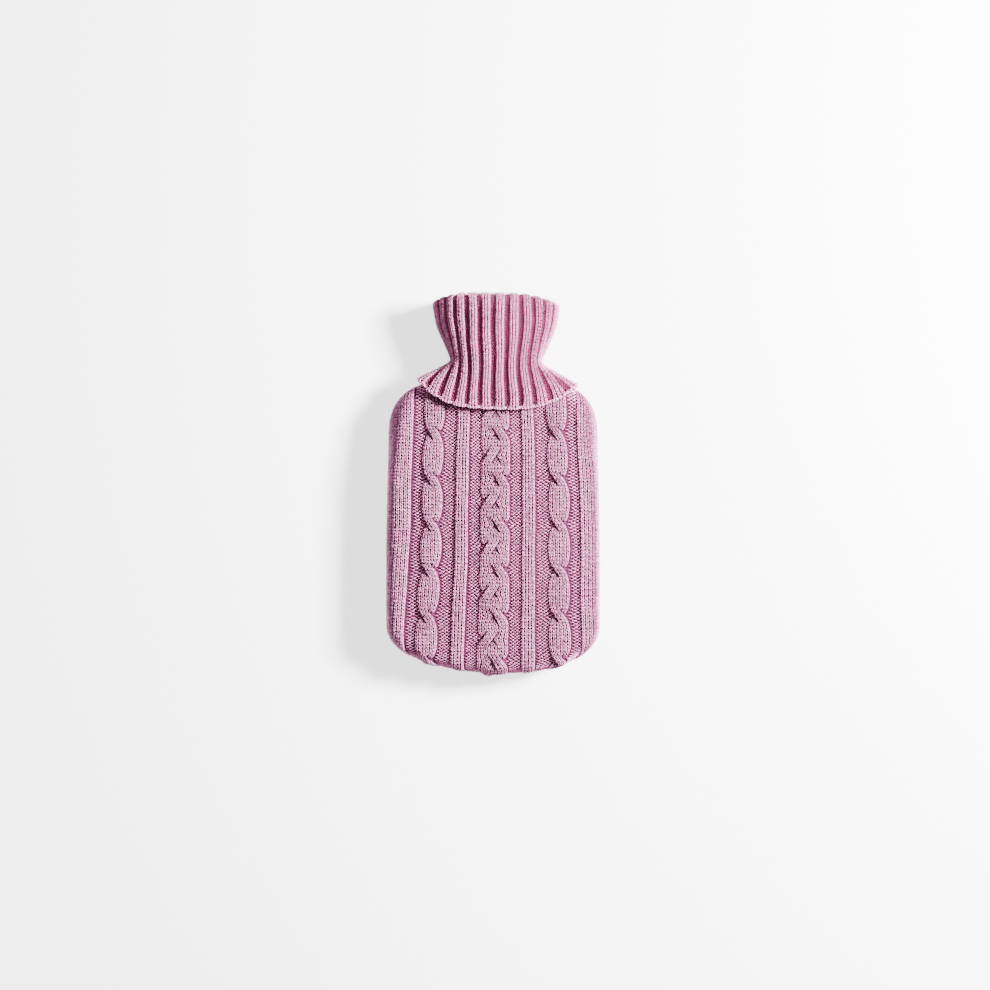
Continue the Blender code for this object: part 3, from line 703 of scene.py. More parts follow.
def set_stitches(name, chart_used, sets):
    """One piece of many stitches. Each set is a stitch, its wales, rows and where, and two more: where
    turns places across a band and up the rows into points of the flat cloth and heights over it, the
    fifth adds painted shade and the sixth adds tones of painted light."""
    points, faces, yarn_maps, flat_maps, painted_shades, tones = [], [], [], [], [], []
    count = 0
    for shape, wale, row, where, painted_shade, painted_light in sets:
        stitches = len(row)
        wale = wale + random.normal(0.0, UNEVEN_ACROSS, stitches)
        up = row + random.normal(0.0, UNEVEN_UP, stitches)
        at = wale[:, None] + shape.points[None, :, 0], up[:, None] + shape.points[None, :, 1], row[:, None]
        flat, height = where(*at)
        swell = 1.0 + random.normal(0.0, UNEVEN_HEIGHT, stitches)
        height = height + shape.points[None, :, 2] * swell[:, None]
        points.append(on_cloth(chart_used, flat, height).reshape(-1, 3))
        first = np.arange(stitches) * len(shape.points)
        corners = (shape.faces[None] + first[:, None, None]).reshape(-1, 3)
        faces.append(corners + count)
        flat_maps.append(flat_map(chart_used, flat).reshape(-1, 2)[corners.ravel()])
        shift = np.repeat(random.random((stitches, 2)), len(shape.uv), 0)
        yarn_maps.append(np.tile(shape.uv, (stitches, 1)) + shift)
        # Painted shade, and each stitch's own random tone with its tones of painted light added.
        shade = painted_shade(*at).ravel() if callable(painted_shade) else painted_shade
        painted_shades.append(np.clip(np.tile(shape.depth, stitches) + shade, 0.0, 1.0))
        tone = random.normal(0.0, STITCH_TONES, stitches) + painted_light
        tones.append(np.repeat(tone, len(shape.points)))
        count += stitches * len(shape.points)
    parts = (np.concatenate(part) for part in (points, faces, yarn_maps, flat_maps))
    made = mesh_object(name, *parts, depth=np.concatenate(painted_shades), tone=np.concatenate(tones))
    if chart_used.face < 0:
        made.data.flip_normals()
    print(f"{name}: {len(made.data.polygons)} triangles")
    return made


print(f"a stitch is {WALE:.1f} mm wide and {ROW:.2f} mm high, and strays by {UNEVEN_ACROSS * WALE:.2f} mm")

# %% [markdown]
# ## The front
#
# The front's stitches are laid band by band. In a purl valley beside a cable the lines of stitches
# bend in where the cable is narrow, because the same few stitches have to fill the space. Cutting one
# even net of stitches to each band's outline would be quicker, but would leave halves of stitches
# along it, which knitting never has. So a band is counted off between its two edges.

# %% Bands between two edges
EDGE_ROUND = 2.4  # how far in the plain knit rounds down at the pattern's edge


def on_front(x, y):
    """Pattern x and y as a point of the flat cloth, and how much relief is left there."""
    points = np.stack((wale_x(x, y), y), axis=-1)
    room = look_up(FRONT.room, FRONT, points)
    return points, (1.0 - changed(y, PATTERN_END)) * smooth(room / SEAM_PULL)


def band(side, inner, outer, count, profile):
    """A band of knitting between two edges that may move: where its stitches go, from left to right."""

    def where(wale, row, _):
        y = TURN_Y + row * ROW
        low, high = inner(y), outer(y)
        share = wale / count if side > 0 else 1.0 - wale / count
        far = low + share * (high - low)
        points, left = on_front(side * far, y)
        return points, profile(share, far) * left

    return where


def fixed(value):
    return lambda y: np.full_like(y, value)


def plait_edge(side):
    """How far the plait reaches out to its right or its left."""
    return lambda y: plait(y, y)[1] if side > 0 else -plait(y, y)[0]


def rope_edge(which):
    """How far out from the pattern's middle a rope's inner edge (0) or outer edge (1) is."""
    return lambda y: ROPE_MIDDLE + rope(y, y)[which]


def valley_profile(share, _):
    return np.full_like(share, PURL)


def rib_profile(share, _):
    return rib_top(share * 2.0 - 1.0)


def side_profile(_, far):
    return PURL * (1.0 - round_top(np.clip(1.0 - (far - PATTERN_EDGE) / EDGE_ROUND, 0.0, 1.0), 2.0))


def grid_of(count, rows):
    """The middle of every stitch of a band: places across it, and rows."""
    wale, row = np.meshgrid(np.arange(count) + 0.5, rows.astype(float))
    return wale.ravel(), row.ravel()


valley_width = RIB_BAND[0] - plait_edge(1.0)(np.array((TURN_Y,)))[0]
print(f"the purl valley is {valley_width:.1f} mm wide beside a crossing, where the plait draws in")

# %% [markdown]
# ### Over and under
#
# At a crossing one strand passes over the other. It keeps its edge on top, the one beneath dips under
# it, and the dark curl beside that edge is what makes a cable readable from far off: a real shadow, and
# painted shade on the yarn beneath. Stitches that lie well beneath are left out, because nobody sees
# them and they would only poke through. Yarn that stands free, along an edge or a rib's side, has a
# painted highlight, lighter tones for the light that reaches its fibres from behind.

# %% Strands, and what is hidden
OVER_LIFT = 1.9  # the least height of a strand over the one beneath it
HIDDEN_BY = 1.2  # a stitch this far under a strand's edge is left out
CROSSING_SOON = 3.0  # how soon near a crossing a strand is lifted, and shades the one beneath
NEAR_CROSSING = 0.05  # the share of a crossing from which its strands count as crossing
CREASE_SHADE, CREASE_WIDTH = 0.85, 1.7  # the painted shade beside a strand's edge, and how far it reaches


def across(wale, strand):
    """How far from the cable's middle a place across a strand is."""
    return strand.middle + (wale / STRAND_STITCHES * 2.0 - 1.0) * strand.half_width


def strand_band(middle, cable, which):
    """One strand of a rope or of the plait."""

    def where(wale, row, anchor):
        y = TURN_Y + row * ROW
        left, right, strands = cable(y, TURN_Y + anchor * ROW)
        strand = strands[which]
        x = across(wale, strand)
        height = strand_top(x, left, right, strand)
        if strand.over > 0:
            beneath = strand_top(x, left, right, strands[1])
            height = np.maximum(height, beneath + OVER_LIFT * smooth(CROSSING_SOON * strand.near))
        points, left_here = on_front(middle + x, y)
        return points, height * left_here

    return where


def under_another(cable, which):
    """Says which stitches of a strand lie well beneath the one that passes over it."""

    def hidden(wale, row):
        y = TURN_Y + row * ROW
        strands = cable(y, y)[2]
        over, strand = strands[0], strands[which]
        past_edge = np.abs(across(wale, strand) - over.middle) < over.half_width - HIDDEN_BY
        return past_edge & (strand.near > NEAR_CROSSING)

    return hidden


def crease_shade(cable, which):
    """How much painted shade a strand's yarn gets, close beside the strand that passes over it."""

    def painted_shade(wale, row, anchor):
        strands = cable(TURN_Y + row * ROW, TURN_Y + anchor * ROW)[2]
        over = strands[0]
        beyond = np.maximum(np.abs(across(wale, strands[which]) - over.middle) - over.half_width, 0.0)
        return CREASE_SHADE * np.exp(-((beyond / CREASE_WIDTH) ** 2)) * smooth(CROSSING_SOON * over.near)

    return painted_shade


print("a strand stands", OVER_LIFT, "mm over the one beneath it")

# %% Tones
FREE_EDGE, HIGHLIGHT_TONE = 2.6, 3.5  # how far in from an edge yarn stands free, and how many tones lighter its painted highlight is
VALLEY_LIGHT_TONE, STRAND_TONE = 4.3, -1.2  # the tones of the purl yarn, painted light against the valleys' shade, and of a strand's middle


def highlighted_lines(*lines):
    """A painted highlight on the lines of stitches with these middles, which stand free."""
    return lambda wale, _: HIGHLIGHT_TONE * np.isin(wale, lines)


# Painted light: the purl yarn in the valleys is made lighter, against their shade.
def valley_tone(wale, _):
    return np.full(len(wale), VALLEY_LIGHT_TONE)


def strand_highlight(cable, which):
    """Tones for a strand's stitches: darker in its middle, and a painted highlight where they stand free, at
    the cable's outline and at a crossing strand's edges.
    """

    def painted_light(wale, row):
        y = TURN_Y + row * ROW
        left, right, strands = cable(y, y)
        strand = strands[which]
        x = across(wale, strand)
        from_outline = np.minimum(x - left, right - x)
        from_edge = strand.half_width - np.abs(x - strand.middle)
        from_edge = from_edge + strand.half_width * (1.0 - strand.near * (strand.over > 0))
        free = np.exp(-((np.minimum(from_outline, from_edge) / FREE_EDGE) ** 2))
        return STRAND_TONE + (HIGHLIGHT_TONE - STRAND_TONE) * free

    return painted_light


# The painted highlight's strength, from a strand's middle to a free edge.
print("free yarn is", HIGHLIGHT_TONE - STRAND_TONE, "tones lighter than the middle of a strand")

# %% The front's stitches
SIDE_STITCHES, SIDE_WALE = 13, 3.6
RIB_BAND_STITCHES = 4
STITCHES_UP_TO_Y = 113.0  # the collar covers what is above
SEAM_ROOM = 0.4  # mm of cloth that stitches keep free before the seam


def kept(shape, wale, row, where, chart_used, painted_shade=0.0, hidden=None, painted_light=None):
    """The set without the stitches that lie past the seam, under the collar or under a strand. Where it
    stands free of the valley beside it, the last argument gives a stitch a painted highlight, in tones."""
    points, _ = where(wale, row, row)
    room = look_up(chart_used.room, chart_used, points)
    keep = (room > SEAM_ROOM) & (points[:, 1] < STITCHES_UP_TO_Y)
    if hidden is not None:
        keep &= ~hidden(wale, row)
    tones = painted_light(wale, row)[keep] if painted_light else 0.0
    return shape, wale[keep], row[keep], where, painted_shade, tones


def strand_set(middle, cable, which):
    """One strand's stitches. The first strand passes over the second, and both others get painted shade
    beside its edge.
    """
    stitches = grid_of(STRAND_STITCHES, rows_shown)
    where = strand_band(middle, cable, which)
    painted_shade = crease_shade(cable, which) if which > 0 else 0.0
    hidden = under_another(cable, which) if which == 1 else None
    return kept(OPEN_KNIT, *stitches, where, FRONT, painted_shade, hidden, strand_highlight(cable, which))


plain_sets, purl_sets, cable_sets = [], [], []
outer_edge = fixed(PATTERN_EDGE + SIDE_STITCHES * SIDE_WALE)
for side in (-1.0, 1.0):
    side_highlight = highlighted_lines(0.5 if side > 0 else SIDE_STITCHES - 0.5)
    rib_highlights = highlighted_lines(0.5, RIB_BAND_STITCHES - 0.5)
    rib_in, rib_out = fixed(RIB_BAND[0]), fixed(RIB_BAND[1])
    bands = (
        # its sets, stitch, inner edge, outer edge, stitches across, profile, tones of painted light
        (plain_sets, OPEN_KNIT, fixed(PATTERN_EDGE), outer_edge, SIDE_STITCHES, side_profile, side_highlight),
        (plain_sets, KNIT, rib_in, rib_out, RIB_BAND_STITCHES, rib_profile, rib_highlights),
        (purl_sets, PURL_STITCH, rope_edge(1), fixed(PATTERN_EDGE), 2, valley_profile, valley_tone),
        (purl_sets, PURL_STITCH, rib_out, rope_edge(0), 3, valley_profile, valley_tone),
        (purl_sets, PURL_STITCH, plait_edge(side), rib_in, 3, valley_profile, valley_tone),
    )
    for sets, shape, inner, outer, count, profile, painted_light in bands:
        where = band(side, inner, outer, count, profile)
        sets.append(kept(shape, *grid_of(count, rows_shown), where, FRONT, painted_light=painted_light))
    cable_sets += [strand_set(side * ROPE_MIDDLE, rope, which) for which in range(2)]
cable_sets += [strand_set(0.0, plait, which) for which in range(3)]

front_plain = set_stitches("front_plain_stitches", FRONT, plain_sets)
front_purl = set_stitches("front_purl_stitches", FRONT, purl_sets)
front_cables = set_stitches("front_cable_stitches", FRONT, cable_sets)

# %% [markdown]
# ## The ground of the cloth
#
# Behind the yarn that shows there is more yarn, and no light comes through. Modelling the yarn of the
# reverse too would double the faces for something that only the gaps show. A thin closed sheet under
# the stitches stands for it. It follows the same relief, a little lower, and is the sheet of cloth
# that the stitches belong to. Its points beyond the seam are moved onto the seam, so it ends there.

# %% The grounds of front and back
GROUND_STEP, GROUND_REACH, GROUND_BOTTOM = 2.4, 118.0, -196.0
GROUND_DEPTH, GROUND_THICKNESS = 1.05, 1.5
PRESSED = 1.1  # the back's yarn is pressed this far into the cloth, and none goes below the table


def thicken(sheet_object, thickness):
    """Gives a sheet its other face, inwards, and closes its edges."""
    select_nothing()
    sheet_object.select_set(True)
    bpy.context.view_layer.objects.active = sheet_object
    solid = sheet_object.modifiers.new("thickness", "SOLIDIFY")
    solid.thickness = thickness * MM
    solid.offset = -1.0
    bpy.ops.object.modifier_apply(modifier=solid.name)


def ground(name, chart_used, height_at):
    """The sheet under one panel's stitches, raised by height_at less its own depth."""
    face = chart_used.face
    x = np.arange(-GROUND_REACH, GROUND_REACH, GROUND_STEP)
    y = np.append(np.arange(GROUND_BOTTOM, NECK_TOP_Y - 1.0, GROUND_STEP), NECK_TOP_Y)
    flat = np.stack(np.meshgrid(x, y), axis=-1).reshape(-1, 2)
    foot, way, out = off_the_crown(flat)
    whole = side_cloth(foot[:, 1], face)
    outside = out > whole - SEAM_ROOM
    flat = np.where(outside[:, None], foot + way * whole[:, None], flat)
    index = np.arange(len(flat)).reshape(len(y), len(x))
    faces = np.stack((index[:-1, :-1], index[:-1, 1:], index[1:, 1:], index[1:, :-1]), axis=-1).reshape(-1, 4)
    faces = faces[~outside[faces].all(1)]
    used, faces = np.unique(faces, return_inverse=True)
    flat, faces = flat[used], faces.reshape(-1, 4)
    height = height_at(flat, np.where(outside, 0.0, whole - out)[used]) - GROUND_DEPTH
    points = on_cloth(chart_used, flat, height)
    corners = flat[faces.ravel()] / np.array((WALE, ROW))
    made = mesh_object(name, points, faces, corners, flat_map(chart_used, flat)[faces.ravel()])
    if face < 0:
        made.data.flip_normals()
    thicken(made, GROUND_THICKNESS)
    print(name, len(made.data.polygons), "faces")
    return made


def front_height(flat, room):
    return relief(pattern_x(flat[:, 0], flat[:, 1]), flat[:, 1], room)


front_cloth = ground("front_cloth", FRONT, front_height)
back_cloth = ground("back_cloth", BACK, lambda flat, room: np.full(len(flat), -PRESSED))

# %% [markdown]
# ## The back
#
# The photograph doesn't show the back. It could carry the same cables, but such covers are finished
# plainly where they lie, and cables would rock on the table. So it is all V stitches, in straight
# lines from the bottom to the neck.

# %% The back's stitches
BACK_WALES = 76
BACK_WAVE_UP, BACK_WAVE_ACROSS = 19.0, 27.0  # the lines' wandering, in mm for a radian


def back_where(wale, row, _):
    y = TURN_Y + row * ROW
    x = (wale - BACK_WALES / 2) * WALE
    x = x + WANDER * np.sin(y / BACK_WAVE_UP + x / BACK_WAVE_ACROSS)
    return np.stack((x, y), axis=-1), np.full_like(x, -PRESSED)


back_sets = [kept(KNIT_SMALL, *grid_of(BACK_WALES, rows_shown), back_where, BACK)]
back_stitches = set_stitches("back_stitches", BACK, back_sets)

# %% [markdown]
# ## The seam
#
# Front and back are sewn together edge to edge, from the neck down one side, along the bottom and up
# the other side. Left open, the gap between the two sheets would show as a dark slot. The sewing yarn
# draws the last stitches of both into one line of Vs that stands on the seam, so that line is made,
# on a strip of chart that stands on edge along the seam.

# %% The seam's stitches
SEAM_STRIP, SEAM_STEP = 3.0, 1.0  # the strip's half width, and the distance between its charted points
SEAM_WALE, SEAM_ROW = 3.4, 2.7  # its stitches, across and along
SEAM_PRESSED = 0.3  # they lie this far within the skin's line


def seam_chart():
    """The strip along the seam, from the neck's right side round to its left."""
    along = np.gradient(CROWN_EDGE, axis=0)
    outward = np.stack((-along[:, 1], along[:, 0]), axis=1) / np.hypot(along[:, 0], along[:, 1])[:, None]
    line = CROWN_EDGE + outward * SIDE_ROUND
    reach = np.concatenate(((0.0,), np.cumsum(np.hypot(*np.diff(line, axis=0).T))))
    at = np.arange(0.0, reach[-1], SEAM_STEP)
    x, y = (np.interp(at, reach, line[:, k]) for k in range(2))
    strip = (-SEAM_STRIP, 0.0, SEAM_STRIP)
    place = np.stack([np.stack((x, y, seam_z(y) + above), axis=1) for above in strip], axis=1)
    return chart(place, (-SEAM_STRIP, 0.0), (SEAM_STRIP, SEAM_STEP))


SEAM = seam_chart()


def seam_where(wale, row, _):
    at = np.stack(((wale - 0.5) * SEAM_WALE, row * SEAM_ROW), axis=-1)
    return at, np.full_like(wale, -SEAM_PRESSED)


seam_wale, seam_row = grid_of(1, np.arange(int(len(SEAM.place) * SEAM_STEP / SEAM_ROW)) + 0.5)
seam_y = look_up(SEAM.place, SEAM, seam_where(seam_wale, seam_row, None)[0])[:, 1]
seam_wale, seam_row = (part[seam_y < STITCHES_UP_TO_Y] for part in (seam_wale, seam_row))
seam_set = (KNIT, seam_wale, seam_row, seam_where, 0.0, 0.0)
seam_stitches = set_stitches("seam_stitches", SEAM, [seam_set])

# %% [markdown]
# ## The collar
#
# The collar is a ribbed tube, knitted on at the neck, that goes up inside the mouth, folds over and
# comes down outside, pinched at the neck and spread over the shoulders. A tube pushed about by hand
# would lose count of its ribs. So its form is a stack of flattened rings, from the join inside to the
# cast-off edge, with a smooth curve through them that gives each line of stitches its course.

# %% The collar's rings
COLLAR_ROWS = (
    # half width, depth in front, depth behind, y at the sides, y at the centre, squareness, centre z,
    # shift right at the sides, crowding
    (33.2, 17.8, 17.8, 120.5, 120.5, 2.8, 26.0, 0.0, 0.15),
    (34.2, 18.0, 18.0, 129.0, 130.0, 2.7, 26.0, 0.0, 0.15),
    (39.5, 19.2, 19.2, 142.0, 146.0, 2.5, 26.0, 0.0, 0.15),
    (46.4, 20.6, 20.6, 155.5, 161.0, 2.4, 26.0, 0.4, 0.18),
    (51.2, 21.3, 21.3, 163.5, 171.0, 2.3, 26.3, 1.2, 0.20),
    (53.6, 21.9, 21.9, 168.2, 175.6, 2.3, 26.5, 2.0, 0.22),
    (55.8, 23.7, 23.7, 170.2, 178.2, 2.3, 26.6, 2.5, 0.23),
    (57.6, 25.4, 25.4, 168.0, 175.6, 2.3, 26.6, 2.8, 0.23),
    (56.6, 25.9, 25.9, 160.0, 168.0, 2.3, 26.6, 3.0, 0.25),
    (54.4, 25.2, 25.2, 149.5, 157.0, 2.4, 26.4, 2.9, 0.30),
    (49.7, 24.4, 24.4, 138.0, 145.0, 2.5, 26.2, 3.0, 0.36),
    (44.6, 23.6, 23.6, 127.0, 132.0, 2.7, 26.0, 2.9, 0.41),
    (41.2, 22.8, 23.4, 117.0, 120.0, 2.9, 26.0, 2.9, 0.43),
    (44.4, 22.8, 24.5, 112.0, 108.5, 2.9, 25.7, 3.0, 0.33),
    (53.9, 22.8, 27.0, 106.8, 96.0, 3.0, 25.2, 3.4, 0.15),
    (65.5, 22.8, 29.0, 101.0, 83.2, 3.5, 24.6, 4.0, 0.0),
    (75.6, 22.6, 30.0, 95.6, 70.4, 4.0, 24.0, 4.2, -0.12),
)
RINGS_BETWEEN = 6  # rings worked out between two of the table's rows
RING_POINTS = 1441


def smooth_table(table, between):
    """The table with rows in between, on a curve that passes through its own rows."""
    rows = np.array(table)
    at = np.linspace(0, len(rows) - 1, (len(rows) - 1) * between + 1)
    low = np.clip(at.astype(int), 0, len(rows) - 2)
    t = (at - low)[:, None]
    before, after = np.maximum(low - 1, 0), np.minimum(low + 2, len(rows) - 1)
    a, b, c, d = rows[before], rows[low], rows[low + 1], rows[after]
    slope_b, slope_c = (c - a) / 2, (d - b) / 2
    return ((2 * t**3 - 3 * t**2 + 1) * b + (t**3 - 2 * t**2 + t) * slope_b
            + (3 * t**2 - 2 * t**3) * c + (t**3 - t**2) * slope_c)


def ring(half_width, front, behind, squareness, turns):
    """Points round a flattened ring, at shares of its length from its front centre."""
    angle = np.linspace(0.0, 2 * math.pi, RING_POINTS)
    sine, cosine = np.sin(angle), np.cos(angle)
    x = half_width * np.sign(sine) * np.abs(sine) ** (2 / squareness)
    z = np.where(cosine > 0, front, -behind) * np.abs(cosine) ** (2 / squareness)
    reach = np.concatenate(((0.0,), np.cumsum(np.hypot(np.diff(x), np.diff(z)))))
    at = turns * reach[-1]
    return np.interp(at, reach, x), np.interp(at, reach, z)


print(len(COLLAR_ROWS), "rings, and", RINGS_BETWEEN - 1, "worked out between two of them")

# %% The collar's chart
COLLAR_RIBS, COLLAR_KNIT_ROWS = 26, 54
COLLAR_TILT = 0.036  # the lower edge drops to the right by this much of its width
CENTRE_DIP = 3.2  # the higher, the nearer to its sides a ring keeps the y of its centre
COLLAR_LOWEST = 2.7  # the middle of its cloth stays this high, so that its stitches lie on the table
CHARTED_A_RIB, CHARTED_A_ROW = 16, 3  # the chart's points


def collar_chart():
    """The collar's middle surface, on a chart of ribs round it and knitted rows along it."""
    turns = np.arange(COLLAR_RIBS * CHARTED_A_RIB) / (COLLAR_RIBS * CHARTED_A_RIB)
    rows = []
    full_shift = COLLAR_ROWS[-1][7]
    for row in smooth_table(COLLAR_ROWS, RINGS_BETWEEN):
        half_width, front, behind, side_y, centre_y, squareness, centre_z, shift, crowding = row
        spread = turns + crowding * np.sin(4 * math.pi * turns) / (4 * math.pi)
        x, z = ring(half_width, front, behind, squareness, spread)
        y = centre_y + (side_y - centre_y) * np.abs(x / half_width) ** CENTRE_DIP
        y -= COLLAR_TILT * x * shift / full_shift
        x = x + shift * (x / half_width) ** 2
        rows.append(np.stack((x, y, z + centre_z), axis=1))
    rows = np.array(rows)
    rows[:, :, 2] = np.maximum(rows[:, :, 2], COLLAR_LOWEST)
    steps = np.linalg.norm(np.diff(rows, axis=0), axis=2)
    reach = np.concatenate((np.zeros((1, len(turns))), np.cumsum(steps, axis=0)))
    even = np.linspace(0.0, 1.0, COLLAR_KNIT_ROWS * CHARTED_A_ROW + 1)
    place = np.empty((len(even), len(turns), 3))
    for i in range(len(turns)):
        for k in range(3):
            place[:, i, k] = np.interp(even, reach[:, i] / reach[-1, i], rows[:, i, k])
    return chart(place, (0.0, 0.0), (1 / CHARTED_A_RIB, 1 / CHARTED_A_ROW), -1.0, around=True)


COLLAR = collar_chart()
FOLD_ROW = float(COLLAR.place[:, 0, 1].argmax()) / CHARTED_A_ROW
print("collar chart", COLLAR.place.shape, "folds at row", round(FOLD_ROW, 1), "of", COLLAR_KNIT_ROWS)

# %% [markdown]
# ### Ribs and grooves
#
# The ribbing is three knit stitches and two purl ones. Off the needles it draws together like a
# bellows, so the purl stitches sink out of sight into deep narrow grooves, whose yarn looks a deeper
# pink because the light in there has bounced from pink to pink. Rounded tubes laid side by side would
# be ribs of a kind, but would have no stitches on their flanks. So the tube itself is given the
# bellows' relief, and then its ribs sway a little on their way down, as those of a used cover do.

# %% The relief of the ribbing
RIB_STITCHES, GROOVE_STITCHES = 3, 2
STITCHES_A_RIB = RIB_STITCHES + GROOVE_STITCHES
COLLAR_THICKNESS, YARN_PRESSED = 3.4, 0.3  # its crests lie a little within the cloth's thickness
GROOVE_HALF, CLOSED_HALF = 0.165, 0.08  # half a groove's width, in ribs, and at the edge where it closes
GROOVE_DEPTH, EDGE_DEPTH, FOLD_DEPTH = 2.5, 0.7, 0.9
RIB_ROUNDNESS = 2.8
EDGE_ROWS = 2.6  # the grooves close over this many rows
FOLD_ROWS = 3.0  # this many rows are drawn tight over the fold
EDGE_SCALLOP, SCALLOP_SHARPNESS = 0.6, 3  # between the ribs the edge is drawn up by this many rows
RIB_SWAY, SMALL_SWAY = 0.028, 0.7  # how far a rib strays, in ribs, and the share that a second wave adds
SWAY_ROWS, SWAY_WAVES = (2.7, 4.9), (5, 7)  # both waves: in rows for a radian, and so many round it


def closing(row):
    """How far the grooves have closed towards the edge, from 0 to 1."""
    return smooth((row - (COLLAR_KNIT_ROWS - EDGE_ROWS)) / EDGE_ROWS)


def groove_half(row):
    return GROOVE_HALF + (CLOSED_HALF - GROOVE_HALF) * closing(row)


def collar_relief(at, row):
    """How far the ribbing stands out from the collar's middle surface, at places in ribs and rows."""
    tight = np.exp(-(((row - FOLD_ROW) / FOLD_ROWS) ** 2))
    depth = GROOVE_DEPTH + (FOLD_DEPTH - GROOVE_DEPTH) * tight
    depth = depth + (EDGE_DEPTH - depth) * closing(row)
    share = ((at % 1.0) - 0.5) / (0.5 - groove_half(row))
    sunk = 1.0 - round_top(np.clip(share, -1.0, 1.0), RIB_ROUNDNESS)
    return COLLAR_THICKNESS / 2 - YARN_PRESSED - depth * sunk


def drawn(at, row):
    """Where the cloth at a rib and a row lies on the chart. The ribs sway on their way, and near the lower
    edge the rows between them are drawn up, so that the edge waves."""
    turn = 2.0 * math.pi * at / COLLAR_RIBS
    first = np.sin(row / SWAY_ROWS[0] + SWAY_WAVES[0] * turn)
    second = SMALL_SWAY * np.sin(row / SWAY_ROWS[1] - SWAY_WAVES[1] * turn)
    off_crest = np.abs(((at % 1.0) - 0.5) * 2.0) ** SCALLOP_SHARPNESS
    drawn_up = EDGE_SCALLOP * closing(row) * off_crest
    return np.stack((at + RIB_SWAY * (first + second), row - drawn_up), axis=-1)


print(f"grooves are {GROOVE_DEPTH} mm deep, {FOLD_DEPTH} at the fold and {EDGE_DEPTH} at the edge")

# %% The collar's stitches
GROOVE_SHADE = 0.7  # yarn in a groove gets this much painted shade


def collar_band(count, ribs):
    """The ribs' stitches, or the grooves': where they go, counted in ribs and rows."""

    def where(wale, row, anchor):
        whole = np.floor(np.round(wale.mean(axis=-1, keepdims=True) - 0.5) / count)
        share = wale / count - whole
        half = groove_half(anchor)
        low, width = (half, 1.0 - 2.0 * half) if ribs else (1.0 - half, 2.0 * half)
        at = whole + low + share * width
        row = np.clip(row, 0.0, COLLAR_KNIT_ROWS)
        return drawn(at, row), collar_relief(at, row)

    return where


def collar_set(shape, count, ribs, painted_shade):
    wale, row = grid_of(count * COLLAR_RIBS, np.arange(COLLAR_KNIT_ROWS))
    return shape, wale, row, collar_band(count, ribs), painted_shade, 0.0


collar_ribs = set_stitches("collar_rib_stitches", COLLAR, [collar_set(KNIT, RIB_STITCHES, True, 0.0)])
groove_set = collar_set(PURL_STITCH, GROOVE_STITCHES, False, GROOVE_SHADE)
collar_grooves = set_stitches("collar_groove_stitches", COLLAR, [groove_set])

# %% [markdown]
# ### The cast-off edge and the collar's ground
#
# At the lower edge the last row is cast off: each stitch is drawn through the next, and a chain lies
# along the edge and closes each groove. A plain round cord there would look sewn on, so every link is
# made, with two lengths of yarn. The ground goes round the whole collar under the ribbing.

# %% The cast-off edge
LINK = (
    # a link's upper and its lower yarn: across and up, in shares of a stitch, and height in mm
    ((-0.62, 0.42, -0.45), (-0.30, 0.25, 0.30), (0.0, 0.12, 0.50),
     (0.30, 0.12, 0.35), (0.60, 0.25, -0.35)),
    ((-0.62, -0.18, -0.35), (-0.30, -0.22, 0.25), (0.0, -0.24, 0.40),
     (0.30, -0.18, 0.25), (0.60, -0.04, -0.35)),
)
LINK_WIDTH = 0.24
LINK_SHIFT = 0.15  # the chain lies this much of a row in from the edge


def cast_off_where(wale, row, _):
    at = wale / STITCHES_A_RIB
    return drawn(at, row), collar_relief(at, np.minimum(row, COLLAR_KNIT_ROWS))


link = stitch(LONG, LINK, LINK_WIDTH, THIN_YARN, THIN_YARN)
wale, row = grid_of(COLLAR_RIBS * STITCHES_A_RIB, np.array((COLLAR_KNIT_ROWS - LINK_SHIFT,)))
collar_edge = set_stitches("collar_cast_off", COLLAR, [(link, wale, row, cast_off_where, 0.0, 0.0)])

# %% The collar's ground
GROUND_A_RIB = 10  # its faces across a rib and a groove


def collar_ground():
    """The sheet under the collar's stitches. It is closed round the neck."""
    columns, rows = COLLAR_RIBS * GROUND_A_RIB, COLLAR_KNIT_ROWS
    at, row = np.meshgrid(np.arange(columns) / GROUND_A_RIB, np.arange(rows + 1).astype(float))
    at, row = at.ravel(), row.ravel()
    points = on_cloth(COLLAR, drawn(at, row), collar_relief(at, row) - GROUND_DEPTH)
    index = np.arange(len(at)).reshape(rows + 1, columns)
    right = np.roll(index, -1, axis=1)
    faces = np.stack((index[:-1], right[:-1], right[1:], index[1:]), axis=-1).reshape(-1, 4)
    corner = np.stack((at, row), axis=-1)[faces]
    past_join = corner[:, 1:3, 0] < corner[:, :1, 0] - 1
    corner[:, 1:3, 0] += np.where(past_join, COLLAR_RIBS, 0)
    corner = corner.reshape(-1, 2)
    stitches = corner * np.array((STITCHES_A_RIB, 1.0))
    made = mesh_object("collar_cloth", points, faces, stitches, flat_map(COLLAR, corner))
    made.data.flip_normals()
    thicken(made, GROUND_THICKNESS)
    print("collar_cloth", len(made.data.polygons), "faces")
    return made


collar_cloth = collar_ground()

# %% [markdown]
# ## Materials
#
# The cover is knitted in soft-spun acrylic yarn of two plies, dyed a dusty pink. It has no gloss to
# speak of. What the eye reads is the stitches' own light and shade, a bloom of fine fibres that
# catches light along every edge, and a deeper, redder pink in the shade between stitches. A single
# pink would look like plastic here, so that shade is painted: the colour darkens with how deep the
# yarn lies, painted highlights lighten yarn that stands free, each stitch has its own tone, and a
# fine twist and fibres are drawn along the yarn's own map.


# %% Colours and nodes
def linear(hex_colour):
    """An sRGB hex colour as linear red, green, blue and alpha."""
    parts = [int(hex_colour[i : i + 2], 16) / 255 for i in (1, 3, 5)]
    return (*(p / 12.92 if p <= 0.04045 else ((p + 0.055) / 1.055) ** 2.4 for p in parts), 1.0)


